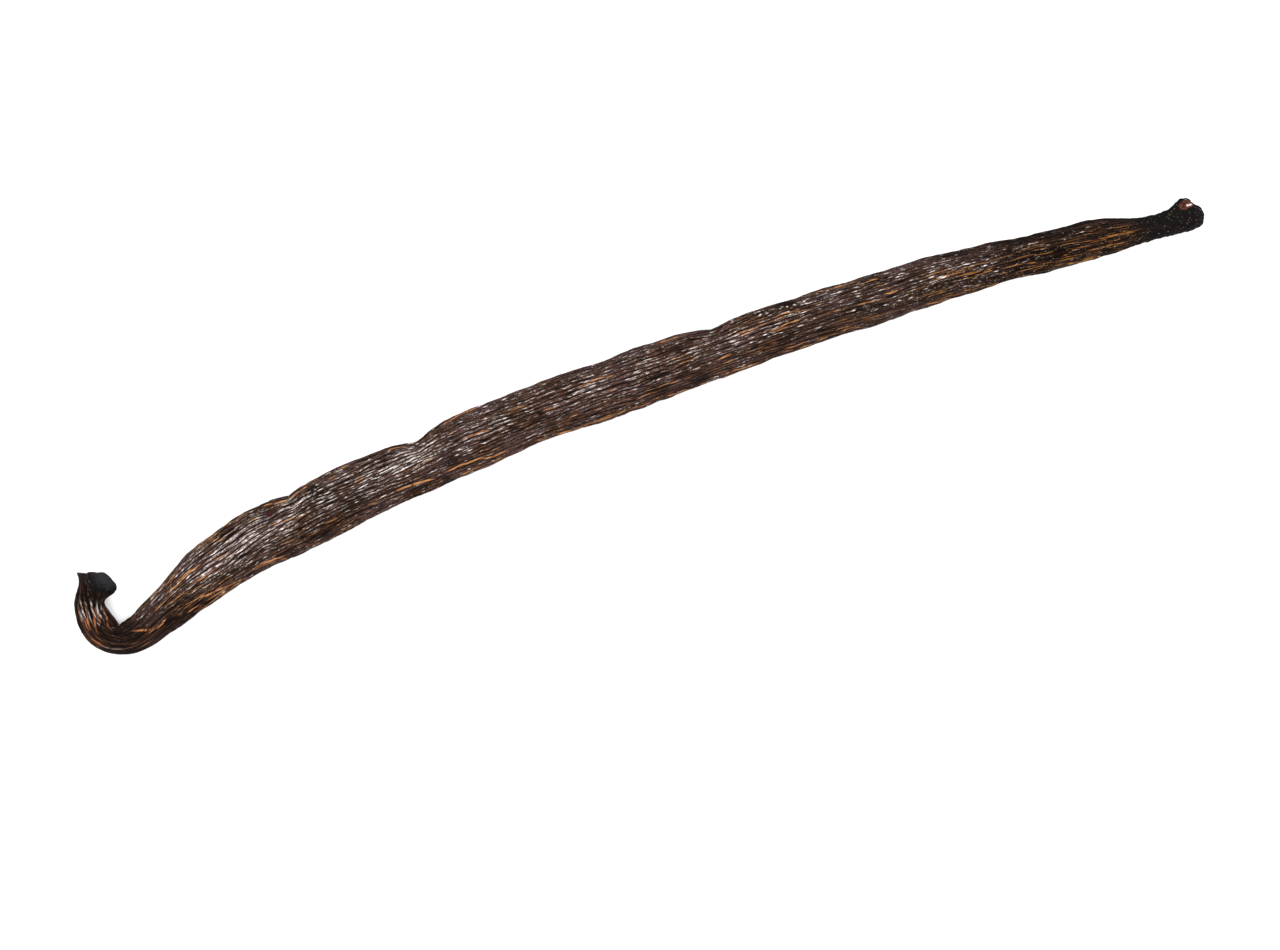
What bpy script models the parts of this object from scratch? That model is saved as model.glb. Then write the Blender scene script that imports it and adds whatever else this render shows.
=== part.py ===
"""A cured vanilla pod.

One solid: a long, flattened, gently waved pod that lies on its belly. Its stalk end is bent round
into a short hook with an oblique scar, and its other end narrows to a neck that carries the small
knob where the flower sat.

The pod is a tube of rings. A ring's place is its distance along the spine, and an angle runs round
it from the upper flank (0 degrees) over the back (90) and the lower flank (180) to the belly (270).
Millimetres and degrees; +X runs from the hook to the knob, +Z is up.
"""

import math

import bmesh
import bpy
import numpy as np

MM = 0.001

# The spine: where it starts, which way it heads, and the bends on its way (place, over, turn).
LENGTH = 160.0
START = (-72.2, 9.0)
START_HEADING = -102.5
BENDS = (
    (4.0, 6.0, 5.5),  # stub
    (9.7, 10.3, 122.0),  # hook
    (21.0, 14.0, -16.0),  # shoulder
    (38.0, 18.0, -5.5),
    (62.0, 28.0, -5.0),
    (95.0, 30.0, -2.0),
    (118.0, 18.0, -1.3),
    (132.0, 16.0, -4.4),
    (146.0, 12.0, 1.7),  # neck
)
SPINE_STEP = 0.1

# Half of the pod's width, and how far its back and its belly stand from the spine (place, size).
HALF_WIDTHS = ((0, 2.0), (4, 2.1), (11, 2.0), (15, 2.45), (24, 3.5), (40, 3.85), (85, 3.72),
               (110, 3.2), (130, 2.8), (144, 2.4), (152, 1.65), (160, 1.65))
BACK_HEIGHTS = ((0, 1.75), (6, 1.45), (14, 1.6), (28, 2.45), (80, 2.6), (120, 2.2), (144, 1.8),
                (152, 1.35), (160, 1.5))
BELLY_DEPTHS = ((0, 1.5), (6, 1.3), (14, 1.4), (28, 2.0), (80, 2.1), (120, 1.85), (144, 1.5),
                (152, 1.2), (160, 1.3))
EASED_OVER = 4.0
FULLNESS = 0.88  # 1 is an oval section, less is a boxier one

# Swellings of each flank (place, reach, height), and the sharp notches between the upper lobes.
UPPER_SWELLINGS = ((4.6, 1.1, -0.4), (7.4, 1.6, 0.25), (9.9, 0.7, -0.25), (11.8, 1.3, 0.15),
                   (19.0, 2.8, -0.55), (30.5, 6.0, 0.65), (123.5, 4.0, 0.15), (137.5, 4.0, -0.15),
                   (145.5, 3.5, 0.4), (152.0, 3.5, -0.22))
LOWER_SWELLINGS = ((7.5, 1.8, 0.2), (18.5, 4.0, 0.4), (30.0, 4.0, -0.35), (38.0, 4.0, 0.15),
                   (71.0, 6.0, -0.25), (115.5, 3.0, 0.2), (134.5, 2.5, -0.2))
NOTCHES = ((38.1, 1.4, 0.5), (55.5, 2.8, 1.05), (80.2, 1.6, 0.22), (95.6, 2.6, 0.65))
NOTCH_SHARPNESS = 1.3
NOTCH_ON_BACK = 0.4  # share of a notch that runs on over the back

# The hook's tip: a lip on the inner side, a drawn-in outer side with a pointed corner, and a smooth
# lobe over the lip (place, angle, reach, depth).
TIP_PLACE = 0.75
TIP_LIP = (2.2, 1.3, 1.55)
TIP_OUTER = (0.9, 1.9, -1.4)
TIP_LOBE = (2.9, 52.0, 1.9, -0.4)
TIP_LEAN = 0.35  # how much further back the rim sits on the back than on the spine
TIP_CORNER = 0.9  # how much further out it sits on the outer side
TIP_LEAN_FADE = 4.0
TIP_BULGE = 0.3

# The knob: swollen on its upper side, with a domed end, a crater on its back and a slit in its rim.
KNOB_PLACE = 158.0
KNOB_SWELLING = (157.4, 1.4, 0.95)
KNOB_HEIGHT = (157.2, 1.7, 0.55)
KNOB_LEAN = (0.45, 0.2)  # how much further back the rim sits on the upper flank and on the back
KNOB_LEAN_FADE = 3.5
KNOB_BULGE = 1.5
KNOB_CRATER = (157.3, 52.0, 0.75, 0.55)  # place, angle, reach, depth
KNOB_SLIT = (14.0, 9.0, 0.4)  # angle, reach in degrees, depth
KNOB_SLIT_LENGTH = 1.6

# Height of the spine over the surface: the belly settles into it, and both ends rise clear.
SETTLE = 0.3
HOOK_RISE = (15.0, 2.3)  # from the tip over this length, to this height
KNOB_RISE = (22.0, 1.1)
ARCH = (84.0, 13.0, 0.45)  # place, reach, height of the span that arches clear of the surface

# Long folds: how many run round the pod, and their depth along it (place, depth).
FOLDS = 9
FOLD_DEPTHS = ((0, 0.05), (3, 0.12), (6, 0.24), (13, 0.22), (24, 0.12), (60, 0.09), (135, 0.09),
               (148, 0.14), (154, 0.12), (160, 0.08))
FOLD_TWIST = 0.9  # degrees for each millimetre
FOLD_SWAY = (17.0, 31.0)  # degrees, and the length of one sway
VALVE_SEAMS = ((28.0, 11.0, 0.20), (128.0, 12.0, 0.26), (262.0, 14.0, 0.2))  # angle, reach, depth
SEAM_SWAY = 0.3  # share of the folds' sway that the seams follow
SEAM_ENDS = (24.0, 140.0)
SEAM_FADE = 14.0
DIMPLES = ((35.0, 54.0, 1.0, 0.35), (44.5, 104.0, 1.0, 0.22))  # place, angle, reach, depth
HOLLOWS = ((26.0, 122.0, 4.0, 0.20), (57.0, 66.0, 3.2, 0.25), (70.0, 112.0, 5.0, 0.15),
           (95.0, 60.0, 3.2, 0.20), (112.0, 98.0, 4.5, 0.15), (133.0, 70.0, 4.0, 0.15),
           (50.0, 235.0, 6.0, 0.15), (104.0, 300.0, 6.0, 0.15))

# The rings.
AROUND = 40
RINGS = 122
CAP_SIZES = (0.0, 0.3, 0.58, 0.82, 0.95)
WIDE_SPACING = 2.4
FINE_SPACING = 0.7
NOTCH_SPACING = 1.0

SKIN_COLOUR = (0.030, 0.019, 0.015, 1.0)
SKIN_ROUGHNESS = 0.42


def smooth(t):
    """Rise smoothly from 0 to 1 as t does."""
    t = np.clip(t, 0.0, 1.0)
    return t * t * (3.0 - 2.0 * t)


def bump(place, at, reach, height):
    """A soft rise of the given height round a place."""
    return height * np.exp(-((place - at) / reach) ** 2)


def eased(stations):
    """A table of sizes along the spine, led through the stations and rounded between them."""
    places, sizes = zip(*stations)
    table = np.interp(SPINE_PLACES, places, sizes)
    half = round(EASED_OVER / SPINE_STEP / 2)
    window = np.hanning(2 * half + 3)[1:-1]
    padded = np.pad(table, half, mode="edge")
    return np.convolve(padded, window / window.sum(), mode="valid")


def spine():
    """The spine's points and headings, one for each step along it."""
    heading = np.full_like(SPINE_PLACES, START_HEADING)
    for at, over, turn in BENDS:
        heading = heading + turn * smooth((SPINE_PLACES - at) / over + 0.5)
    heading = np.radians(heading)
    x = np.cumsum(np.cos(heading)) * SPINE_STEP
    y = np.cumsum(np.sin(heading)) * SPINE_STEP
    x += START[0] - np.interp(0.0, SPINE_PLACES, x)
    y += START[1] - np.interp(0.0, SPINE_PLACES, y)
    return x, y, heading


SPINE_PLACES = np.arange(-3.0, LENGTH + 3.0, SPINE_STEP)
SPINE_X, SPINE_Y, HEADING = spine()
HALF_WIDTH = eased(HALF_WIDTHS)
BACK_HEIGHT = eased(BACK_HEIGHTS)
BELLY_DEPTH = eased(BELLY_DEPTHS)
FOLD_DEPTH = eased(FOLD_DEPTHS)


def along(place, table):
    """Read a table of the spine at a place."""
    return np.interp(place, SPINE_PLACES, table)


def notch(place):
    """How far the notches of the upper flank cut in at a place."""
    return sum(depth * np.exp(-(np.abs(place - at) / reach) ** NOTCH_SHARPNESS)
               for at, reach, depth in NOTCHES)


def flank(place, across):
    """Half the width on the side that an angle is on: the upper flank, or the lower one."""
    upper = sum(bump(place, *swelling) for swelling in (*UPPER_SWELLINGS, TIP_LIP, KNOB_SWELLING))
    lower = sum(bump(place, *swelling) for swelling in (*LOWER_SWELLINGS, TIP_OUTER))
    base = along(place, HALF_WIDTH)
    return np.where(across > 0, base + upper - notch(place), base + lower)


def height(place, across, up):
    """How far the back or the belly stands from the spine."""
    back = along(place, BACK_HEIGHT) - NOTCH_ON_BACK * notch(place) * np.clip(across, 0, 1)
    return np.where(up > 0, back, along(place, BELLY_DEPTH)) + bump(place, *KNOB_HEIGHT)


def turned(angle, degrees):
    """How far an angle lies from one given in degrees, in radians and the short way round."""
    return np.angle(np.exp(1j * (angle - math.radians(degrees))))


def folds(place, angle):
    """Depth of the long folds, the valve seams, the hollows and the knob's crater and slit."""
    sway = math.radians(FOLD_SWAY[0]) * np.sin(2 * math.pi * place / FOLD_SWAY[1])
    turn = angle + math.radians(FOLD_TWIST) * place + sway
    depth = along(place, FOLD_DEPTH) * (0.5 - 0.5 * np.cos(FOLDS * turn))
    seamed = smooth((place - SEAM_ENDS[0]) / SEAM_FADE + 0.5)
    seamed = seamed * smooth((SEAM_ENDS[1] - place) / SEAM_FADE + 0.5)
    for at, reach, seam in VALVE_SEAMS:
        off = np.degrees(turned(angle, at) - SEAM_SWAY * sway)
        depth = depth + seamed * bump(off, 0.0, reach, seam)
    for at, side, reach, dip in (*DIMPLES, *HOLLOWS, TIP_LOBE, KNOB_CRATER):
        off = along(at, HALF_WIDTH) * turned(angle, side)
        depth = depth + dip * np.exp(-((place - at) ** 2 + off ** 2) / reach ** 2)
    at, reach, slit = KNOB_SLIT
    opening = smooth((place - KNOB_PLACE) / KNOB_SLIT_LENGTH + 1)
    return depth + opening * bump(np.degrees(turned(angle, at)), 0.0, reach, slit)


def lean(place, across, up):
    """How far the rings near the two ends lean, so that the end faces are oblique."""
    tip = smooth(1 - (place - TIP_PLACE) / TIP_LEAN_FADE)
    knob = smooth(1 - (KNOB_PLACE - place) / KNOB_LEAN_FADE)
    tip_lean = TIP_LEAN * up - TIP_CORNER * np.minimum(across, 0) ** 2
    knob_lean = KNOB_LEAN[0] * across + KNOB_LEAN[1] * up
    return tip * tip_lean - knob * knob_lean


def rise(place):
    """Height of the spine over the surface."""
    hook = HOOK_RISE[1] * smooth(1 - place / HOOK_RISE[0])
    knob = KNOB_RISE[1] * smooth(1 - (LENGTH - place) / KNOB_RISE[0])
    return along(place, BELLY_DEPTH) - SETTLE + hook + knob + bump(place, *ARCH)


def skin(place, angle):
    """Points of the skin, in millimetres, at places along the spine and angles round it."""
    across = np.cos(angle)
    up = np.sin(angle)
    depth = folds(place, angle)
    there = place + lean(place, across, up)
    reach = flank(there, across) - depth
    tall = height(there, across, up) - depth
    sideways = reach * np.sign(across) * np.abs(across) ** FULLNESS
    heading = along(there, HEADING)
    x = along(there, SPINE_X) - sideways * np.sin(heading)
    y = along(there, SPINE_Y) + sideways * np.cos(heading)
    z = rise(there) + tall * np.sign(up) * np.abs(up) ** FULLNESS
    return np.stack((x, y, np.maximum(z, 0.0)), axis=-1)


def ring_places():
    """Places of the body's rings: close together at the ends and the notches, wide elsewhere."""
    fine = np.linspace(TIP_PLACE, KNOB_PLACE, 4000)
    ends = smooth((fine - 12) / 14) * smooth((KNOB_PLACE - 5 - fine) / 12)
    spacing = FINE_SPACING + (WIDE_SPACING - FINE_SPACING) * ends
    for at, reach, _ in NOTCHES:
        spacing = spacing - (spacing - NOTCH_SPACING) * np.exp(-((fine - at) / (1.2 * reach)) ** 2)
    count = np.cumsum(1.0 / spacing)
    body_rings = RINGS - 2 * len(CAP_SIZES)
    return np.interp(np.linspace(count[0], count[-1], body_rings), count, fine)


def end_cap(rim, size, bulge, outward):
    """A ring of an end face: the rim drawn in towards the face's middle, and raised into a dome."""
    middle = rim.mean(axis=0)
    return middle + (rim - middle) * size + outward * bulge * math.sqrt(1 - size ** 2)


def pod_rings():
    """Every ring of the pod from the tip's scar to the knob's crater, as arrays of points."""
    angle = np.arange(AROUND) * 2 * math.pi / AROUND
    body = [skin(np.full(AROUND, place), angle) for place in ring_places()]
    caps = []
    for rim, inner, bulge in ((body[0], body[2], TIP_BULGE), (body[-1], body[-3], KNOB_BULGE)):
        outward = rim.mean(axis=0) - inner.mean(axis=0)
        outward /= np.linalg.norm(outward)
        caps.append([end_cap(rim, size, bulge, outward) for size in CAP_SIZES])
    return caps[0] + body + caps[1][::-1]


def make_pod(collection):
    """The pod: a sphere's rings and poles laid along the spine."""
    rings = pod_rings()
    form = bmesh.new()
    bmesh.ops.create_uvsphere(form, u_segments=AROUND, v_segments=len(rings) - 1, radius=1.0)
    for vert in form.verts:
        ring = round(math.acos(max(-1.0, min(1.0, vert.co.z))) / math.pi * (len(rings) - 1))
        step = round(math.atan2(vert.co.y, vert.co.x) / (2 * math.pi) * AROUND) % AROUND
        vert.co = rings[ring][step] * MM
    bmesh.ops.reverse_faces(form, faces=form.faces)  # the angles run the other way than the sphere's
    bmesh.ops.triangulate(form, faces=form.faces)
    centre_over_origin(form)
    mesh = bpy.data.meshes.new("pod")
    form.to_mesh(mesh)
    form.free()
    mesh.shade_smooth()
    mesh.materials.append(pod_skin())
    collection.objects.link(bpy.data.objects.new("pod", mesh))


def centre_over_origin(form):
    """Move the form so that the middle of its bounding box's underside is the origin."""
    corners = np.array([vert.co for vert in form.verts])
    low, high = corners.min(axis=0), corners.max(axis=0)
    shift = (-(low[0] + high[0]) / 2, -(low[1] + high[1]) / 2, -low[2])
    bmesh.ops.translate(form, verts=form.verts, vec=shift)


def pod_skin():
    """The dark, oily brown skin."""
    material = bpy.data.materials.new("pod_skin")
    material.use_nodes = True
    shader = material.node_tree.nodes["Principled BSDF"]
    shader.inputs["Base Color"].default_value = SKIN_COLOUR
    shader.inputs["Roughness"].default_value = SKIN_ROUGHNESS
    shader.inputs["Metallic"].default_value = 0.0
    return material


def main():
    """Clear the scene and build the pod in a collection of its own."""
    for old in list(bpy.data.objects):
        bpy.data.objects.remove(old, do_unlink=True)
    collection = bpy.data.collections.new("vanilla_pod")
    bpy.context.scene.collection.children.link(collection)
    make_pod(collection)


if __name__ == "__main__":
    main()
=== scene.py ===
"""A cured vanilla pod on a pale table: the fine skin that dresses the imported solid.

The skin is a tube of rings, as the solid is. A ring's place is its distance along the spine, from
the hook's tip (0) to the knob (160), and an angle runs round it from the upper flank (0 degrees)
over the back (90) and the lower flank (180) to the belly (270). Sizes are in millimetres unless a
name says otherwise, and become metres where the mesh is made.
"""

import logging
import math
from dataclasses import dataclass, field
from enum import Enum
from functools import reduce

import bmesh
import bpy
import numpy as np
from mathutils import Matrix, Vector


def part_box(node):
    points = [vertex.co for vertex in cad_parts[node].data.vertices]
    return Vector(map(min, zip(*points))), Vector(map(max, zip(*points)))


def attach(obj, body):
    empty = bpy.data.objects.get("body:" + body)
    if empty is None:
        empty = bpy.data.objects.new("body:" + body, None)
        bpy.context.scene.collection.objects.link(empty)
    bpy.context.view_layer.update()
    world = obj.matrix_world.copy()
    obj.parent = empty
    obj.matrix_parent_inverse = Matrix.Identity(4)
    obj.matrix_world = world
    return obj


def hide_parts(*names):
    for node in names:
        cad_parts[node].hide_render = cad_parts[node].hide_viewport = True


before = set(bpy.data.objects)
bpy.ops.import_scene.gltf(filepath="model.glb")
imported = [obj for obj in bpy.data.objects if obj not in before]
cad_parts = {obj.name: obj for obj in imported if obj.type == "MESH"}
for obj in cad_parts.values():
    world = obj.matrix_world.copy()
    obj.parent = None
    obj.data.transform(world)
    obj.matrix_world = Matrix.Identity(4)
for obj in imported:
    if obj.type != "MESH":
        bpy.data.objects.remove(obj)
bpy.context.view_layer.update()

MM = 0.001
TINY = 1e-9  # keeps a division from failing
REPORT = logging.getLogger("vanilla_pod")

Array = np.ndarray
Socket = bpy.types.NodeSocket
Stations = tuple[tuple[float, float], ...]  # a place, and the size there
Swelling = tuple[float, float, float]  # a place or an angle, its reach, and its strength
Swellings = tuple[Swelling, ...]
Patch = tuple[float, float, float, float]  # a round patch: place, angle, reach and strength
Colour = tuple[float, float, float]
Coat = tuple[object, object]  # a colour laid over another, and how much of it shows
Follow = tuple[object, ...]  # a zone or a pattern, and how a share follows it
Share = tuple[Follow, ...]
Edge = tuple[float, ...]  # the levels between which something changes, and from what to what


class Layer(Enum):
    """The values that the skin carries at each point, for its finish to read."""

    UNROLLED = "unrolled"  # the point on a straight pod: place, and two axes across it
    MARKS = "marks"  # how far it is up a wrinkle, a fibre, and in a stain
    ZONES = "zones"  # how far it is on the tip's lobe, on the neck and knob, and in the crater
    TONES = "tones"  # how thick the painted highlight flecks are, how thick the painted bead glints, and how golden the skin is
    SHADES = "shades"  # how strong the painted highlight is, how dark the patch of skin is (partly painted shade), and how far it is on the hook


def smooth(t: Array) -> Array:
    """Rise smoothly from 0 to 1 as t does."""
    t = np.clip(t, 0.0, 1.0)
    return t * t * (3.0 - 2.0 * t)


def bump(place: Array, at: float, reach: float, height: float) -> Array:
    """A soft rise of the given height round a place."""
    return height * np.exp(-(((place - at) / reach) ** 2))


def onset(place: Array, at: float, over: float, share: float) -> Array:
    """A share that comes in over a length from a place on, or back from it where that is negative."""
    return share * smooth((place - at) / over)


def between(place: Array, start: float, stop: float, rise: float, fall: float) -> Array:
    """1 between two places, with a smooth rise after the first and a fall before the second."""
    return smooth((place - start) / rise) * smooth((stop - place) / fall)


def turned(angle: Array, degrees: float) -> Array:
    """How far an angle lies from one given in degrees, in radians and the short way round."""
    return np.angle(np.exp(1j * (angle - math.radians(degrees))))


def facing(angle: Array, side: tuple[float, float]) -> Array:
    """How near an angle is to a side, which is given as its own angle and its reach in degrees."""
    return np.exp(-((np.degrees(turned(angle, side[0])) / side[1]) ** 2))


@dataclass
class Spine:
    """The line that the pod follows, seen from above."""

    length: float = 160.0
    start: tuple[float, float] = (-72.2, 9.0)
    start_heading: float = -102.5
    bends: Swellings = (
        (4.0, 6.0, 5.5),
        (9.7, 10.3, 122.0),
        (21.0, 14.0, -16.0),
        (38.0, 18.0, -5.5),
        (62.0, 28.0, -5.0),
        (95.0, 30.0, -2.0),
        (118.0, 18.0, -1.3),
        (132.0, 16.0, -4.4),
        (146.0, 12.0, 1.7),
    )
    overrun: float = 3.0  # how far the tables run on past the two ends
    step: float = 0.1
    eased_over: float = 4.0

    def __post_init__(self) -> None:
        """Work out the line's points and headings, one for each step along it."""
        self.places = np.arange(-self.overrun, self.length + self.overrun, self.step)
        heading = np.full_like(self.places, self.start_heading)
        for at, over, turn in self.bends:
            heading = heading + turn * smooth((self.places - at) / over + 0.5)
        self.headings = np.radians(heading)
        x = np.cumsum(np.cos(self.headings)) * self.step
        y = np.cumsum(np.sin(self.headings)) * self.step
        self.x = x + self.start[0] - np.interp(0.0, self.places, x)
        self.y = y + self.start[1] - np.interp(0.0, self.places, y)

    def at(self, place: Array, table: Array) -> Array:
        """Read one of the spine's tables at a place."""
        return np.interp(place, self.places, table)

    def eased(self, stations: Stations) -> Array:
        """Lead a table of sizes through its stations.

        Args:
            stations: Places along the spine, each with the size there.

        Returns:
            The size at each of the spine's steps, rounded where the stations change its slope.
        """
        places, sizes = zip(*stations)
        table = np.interp(self.places, places, sizes)
        half = round(self.eased_over / self.step / 2)
        window = np.hanning(2 * half + 3)[1:-1]
        padded = np.pad(table, half, mode="edge")
        return np.convolve(padded, window / window.sum(), mode="valid")


@dataclass
class PodForm:
    """The pod's main form, ring by ring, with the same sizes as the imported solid."""

    spine: Spine = field(default_factory=Spine)
    half_widths: Stations = (
        (0, 2.0), (4, 2.1), (11, 2.0), (15, 2.45), (24, 3.5), (40, 3.85), (85, 3.72),
        (110, 3.2), (130, 2.8), (144, 2.4), (152, 1.65), (160, 1.65),
    )
    back_heights: Stations = (
        (0, 1.75), (6, 1.45), (14, 1.6), (28, 2.45), (80, 2.6), (120, 2.2), (144, 1.8),
        (152, 1.35), (160, 1.5),
    )
    belly_depths: Stations = (
        (0, 1.5), (6, 1.3), (14, 1.4), (28, 2.0), (80, 2.1), (120, 1.85), (144, 1.5),
        (152, 1.2), (160, 1.3),
    )
    fullness: float = 0.88
    upper_swellings: Swellings = (
        (4.6, 1.1, -0.4), (7.4, 1.6, 0.25), (9.9, 0.7, -0.25), (11.8, 1.3, 0.15), (19.0, 2.8, -0.55),
        (30.5, 6.0, 0.65),
        (123.5, 4.0, 0.15), (137.5, 4.0, -0.15), (145.5, 3.5, 0.4), (152.0, 3.5, -0.22),
    )
    lower_swellings: Swellings = (
        (7.5, 1.8, 0.2), (18.5, 4.0, 0.4), (30.0, 4.0, -0.35), (38.0, 4.0, 0.15),
        (71.0, 6.0, -0.25), (115.5, 3.0, 0.2), (134.5, 2.5, -0.2),
    )
    notches: Swellings = (
        (38.1, 1.4, 0.5), (55.5, 2.8, 1.05), (80.2, 1.6, 0.22), (95.6, 2.6, 0.65),
    )
    notch_sharpness: float = 1.3
    notch_on_back: float = 0.4
    tip_place: float = 0.75
    tip_lip: Swelling = (2.2, 1.3, 1.55)
    tip_outer: Swelling = (0.9, 1.9, -1.4)
    tip_lobe: Patch = (2.9, 52.0, 1.9, -0.4)
    tip_patch: Patch = (1.0, 22.0, 2.25, 1.0)
    tip_lean: float = 0.35
    tip_corner: float = 0.9
    tip_lean_fade: float = 4.0
    tip_bulge: float = 0.3
    knob_place: float = 158.0
    knob_swelling: Swelling = (157.4, 1.4, 0.95)
    knob_height: Swelling = (157.2, 1.7, 0.55)
    knob_lean: tuple[float, float] = (0.45, 0.2)
    knob_lean_fade: float = 3.5
    knob_bulge: float = 1.5
    knob_crater: Patch = (157.3, 52.0, 0.75, 0.55)
    knob_slit: Swelling = (14.0, 9.0, 0.4)
    knob_slit_length: float = 1.6
    settle: float = 0.3
    hook_rise: tuple[float, float] = (15.0, 2.3)
    knob_rise: tuple[float, float] = (22.0, 1.1)
    arch: Swelling = (84.0, 13.0, 0.45)
    folds: int = 9
    fold_depths: Stations = (
        (0, 0.05), (3, 0.12), (6, 0.24), (13, 0.22), (24, 0.12), (60, 0.09), (135, 0.09),
        (148, 0.14), (154, 0.12), (160, 0.08),
    )
    fold_twist: float = 0.9
    fold_sway: tuple[float, float] = (17.0, 31.0)
    valve_seams: Swellings = ((28.0, 11.0, 0.20), (128.0, 12.0, 0.26), (262.0, 14.0, 0.2))
    seam_sway: float = 0.3
    seam_ends: tuple[float, float] = (24.0, 140.0)
    seam_fade: float = 14.0
    dimples: tuple[Patch, ...] = ((35.0, 54.0, 1.0, 0.35), (44.5, 104.0, 1.0, 0.22))
    hollows: tuple[Patch, ...] = (
        (26.0, 122.0, 4.0, 0.20), (57.0, 66.0, 3.2, 0.25), (70.0, 112.0, 5.0, 0.15),
        (95.0, 60.0, 3.2, 0.20), (112.0, 98.0, 4.5, 0.15), (133.0, 70.0, 4.0, 0.15),
        (50.0, 235.0, 6.0, 0.15), (104.0, 300.0, 6.0, 0.15),
    )

    def __post_init__(self) -> None:
        """Work out the tables that the rings read."""
        self.half_width = self.spine.eased(self.half_widths)
        self.back_height = self.spine.eased(self.back_heights)
        self.belly_depth = self.spine.eased(self.belly_depths)
        self.fold_depth = self.spine.eased(self.fold_depths)

    def notch(self, place: Array) -> Array:
        """How far the notches of the upper flank cut in at a place."""
        return sum(
            depth * np.exp(-((np.abs(place - at) / reach) ** self.notch_sharpness))
            for at, reach, depth in self.notches
        )

    def flank(self, place: Array, across: Array) -> Array:
        """Half the width on the side that an angle is on.

        Args:
            place: Places along the spine.
            across: How far each angle turns to the upper flank, from -1 to 1.

        Returns:
            The half width of the upper flank or of the lower one.
        """
        upper = (*self.upper_swellings, self.tip_lip, self.knob_swelling)
        lower = (*self.lower_swellings, self.tip_outer)
        base = self.spine.at(place, self.half_width)
        above = base + sum(bump(place, *swelling) for swelling in upper) - self.notch(place)
        below = base + sum(bump(place, *swelling) for swelling in lower)
        return np.where(across > 0, above, below)

    def height(self, place: Array, across: Array, up: Array) -> Array:
        """How far the back or the belly stands from the spine.

        Args:
            place: Places along the spine.
            across: How far each angle turns to the upper flank, from -1 to 1.
            up: How far it turns upwards.

        Returns:
            The height of the back or the depth of the belly.
        """
        back = self.spine.at(place, self.back_height)
        back = back - self.notch_on_back * self.notch(place) * np.clip(across, 0, 1)
        belly = self.spine.at(place, self.belly_depth)
        return np.where(up > 0, back, belly) + bump(place, *self.knob_height)

    def fold_turn(self, place: Array) -> Array:
        """How far the long folds have swayed round the pod at a place, in radians."""
        sway, period = self.fold_sway
        return math.radians(sway) * np.sin(2 * math.pi * place / period)

    def hollow(self, place: Array, angle: Array, pit: Patch) -> Array:
        """Depth of one round dip, or strength of one round patch.

        Args:
            place: Places along the spine.
            angle: Angles round it in radians.
            pit: The dip or the patch.

        Returns:
            Its depth or strength at each point.
        """
        at, side, reach, dip = pit
        off = self.spine.at(at, self.half_width) * turned(angle, side)
        return dip * np.exp(-((place - at) ** 2 + off**2) / reach**2)

    def dents(self, place: Array, angle: Array) -> Array:
        """Depth of the long folds, the valve seams, the hollows and the knob's crater and slit.

        Args:
            place: Places along the spine.
            angle: Angles round it in radians.

        Returns:
            How far each point lies in.
        """
        sway = self.fold_turn(place)
        turn = angle + math.radians(self.fold_twist) * place + sway
        depth = self.spine.at(place, self.fold_depth) * (0.5 - 0.5 * np.cos(self.folds * turn))
        seamed = smooth((place - self.seam_ends[0]) / self.seam_fade + 0.5)
        seamed = seamed * smooth((self.seam_ends[1] - place) / self.seam_fade + 0.5)
        for at, reach, seam in self.valve_seams:
            off = np.degrees(turned(angle, at) - self.seam_sway * sway)
            depth = depth + seamed * bump(off, 0.0, reach, seam)
        for pit in (*self.dimples, *self.hollows, self.tip_lobe, self.knob_crater):
            depth = depth + self.hollow(place, angle, pit)
        at, reach, slit = self.knob_slit
        opening = smooth((place - self.knob_place) / self.knob_slit_length + 1)
        return depth + opening * bump(np.degrees(turned(angle, at)), 0.0, reach, slit)

    def lean(self, place: Array, across: Array, up: Array) -> Array:
        """How far the rings near the two ends lean, so that the end faces are oblique.

        Args:
            place: Places along the spine.
            across: How far each angle turns to the upper flank, from -1 to 1.
            up: How far it turns upwards.

        Returns:
            How far each point moves along the spine.
        """
        tip = smooth(1 - (place - self.tip_place) / self.tip_lean_fade)
        knob = smooth(1 - (self.knob_place - place) / self.knob_lean_fade)
        tip_lean = self.tip_lean * up - self.tip_corner * np.minimum(across, 0) ** 2
        return tip * tip_lean - knob * (self.knob_lean[0] * across + self.knob_lean[1] * up)

    def rise(self, place: Array) -> Array:
        """Height of the spine over the table.

        Args:
            place: Places along the spine.

        Returns:
            The height at each of them.
        """
        hook = self.hook_rise[1] * smooth(1 - place / self.hook_rise[0])
        knob = self.knob_rise[1] * smooth(1 - (self.spine.length - place) / self.knob_rise[0])
        belly = self.spine.at(place, self.belly_depth)
        return belly - self.settle + hook + knob + bump(place, *self.arch)

    def skin(self, place: Array, angle: Array) -> Array:
        """Points of the form.

        Args:
            place: Places along the spine.
            angle: Angles round it in radians, as many as there are places.

        Returns:
            Points in millimetres, with x, y and z on the last axis.
        """
        across = np.cos(angle)
        up = np.sin(angle)
        depth = self.dents(place, angle)
        there = place + self.lean(place, across, up)
        reach = self.flank(there, across) - depth
        tall = self.height(there, across, up) - depth
        sideways = reach * np.sign(across) * np.abs(across) ** self.fullness
        heading = self.spine.at(there, self.spine.headings)
        x = self.spine.at(there, self.spine.x) - sideways * np.sin(heading)
        y = self.spine.at(there, self.spine.y) + sideways * np.cos(heading)
        z = self.rise(there) + tall * np.sign(up) * np.abs(up) ** self.fullness
        return np.stack((x, y, np.maximum(z, 0.0)), axis=-1)


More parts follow.
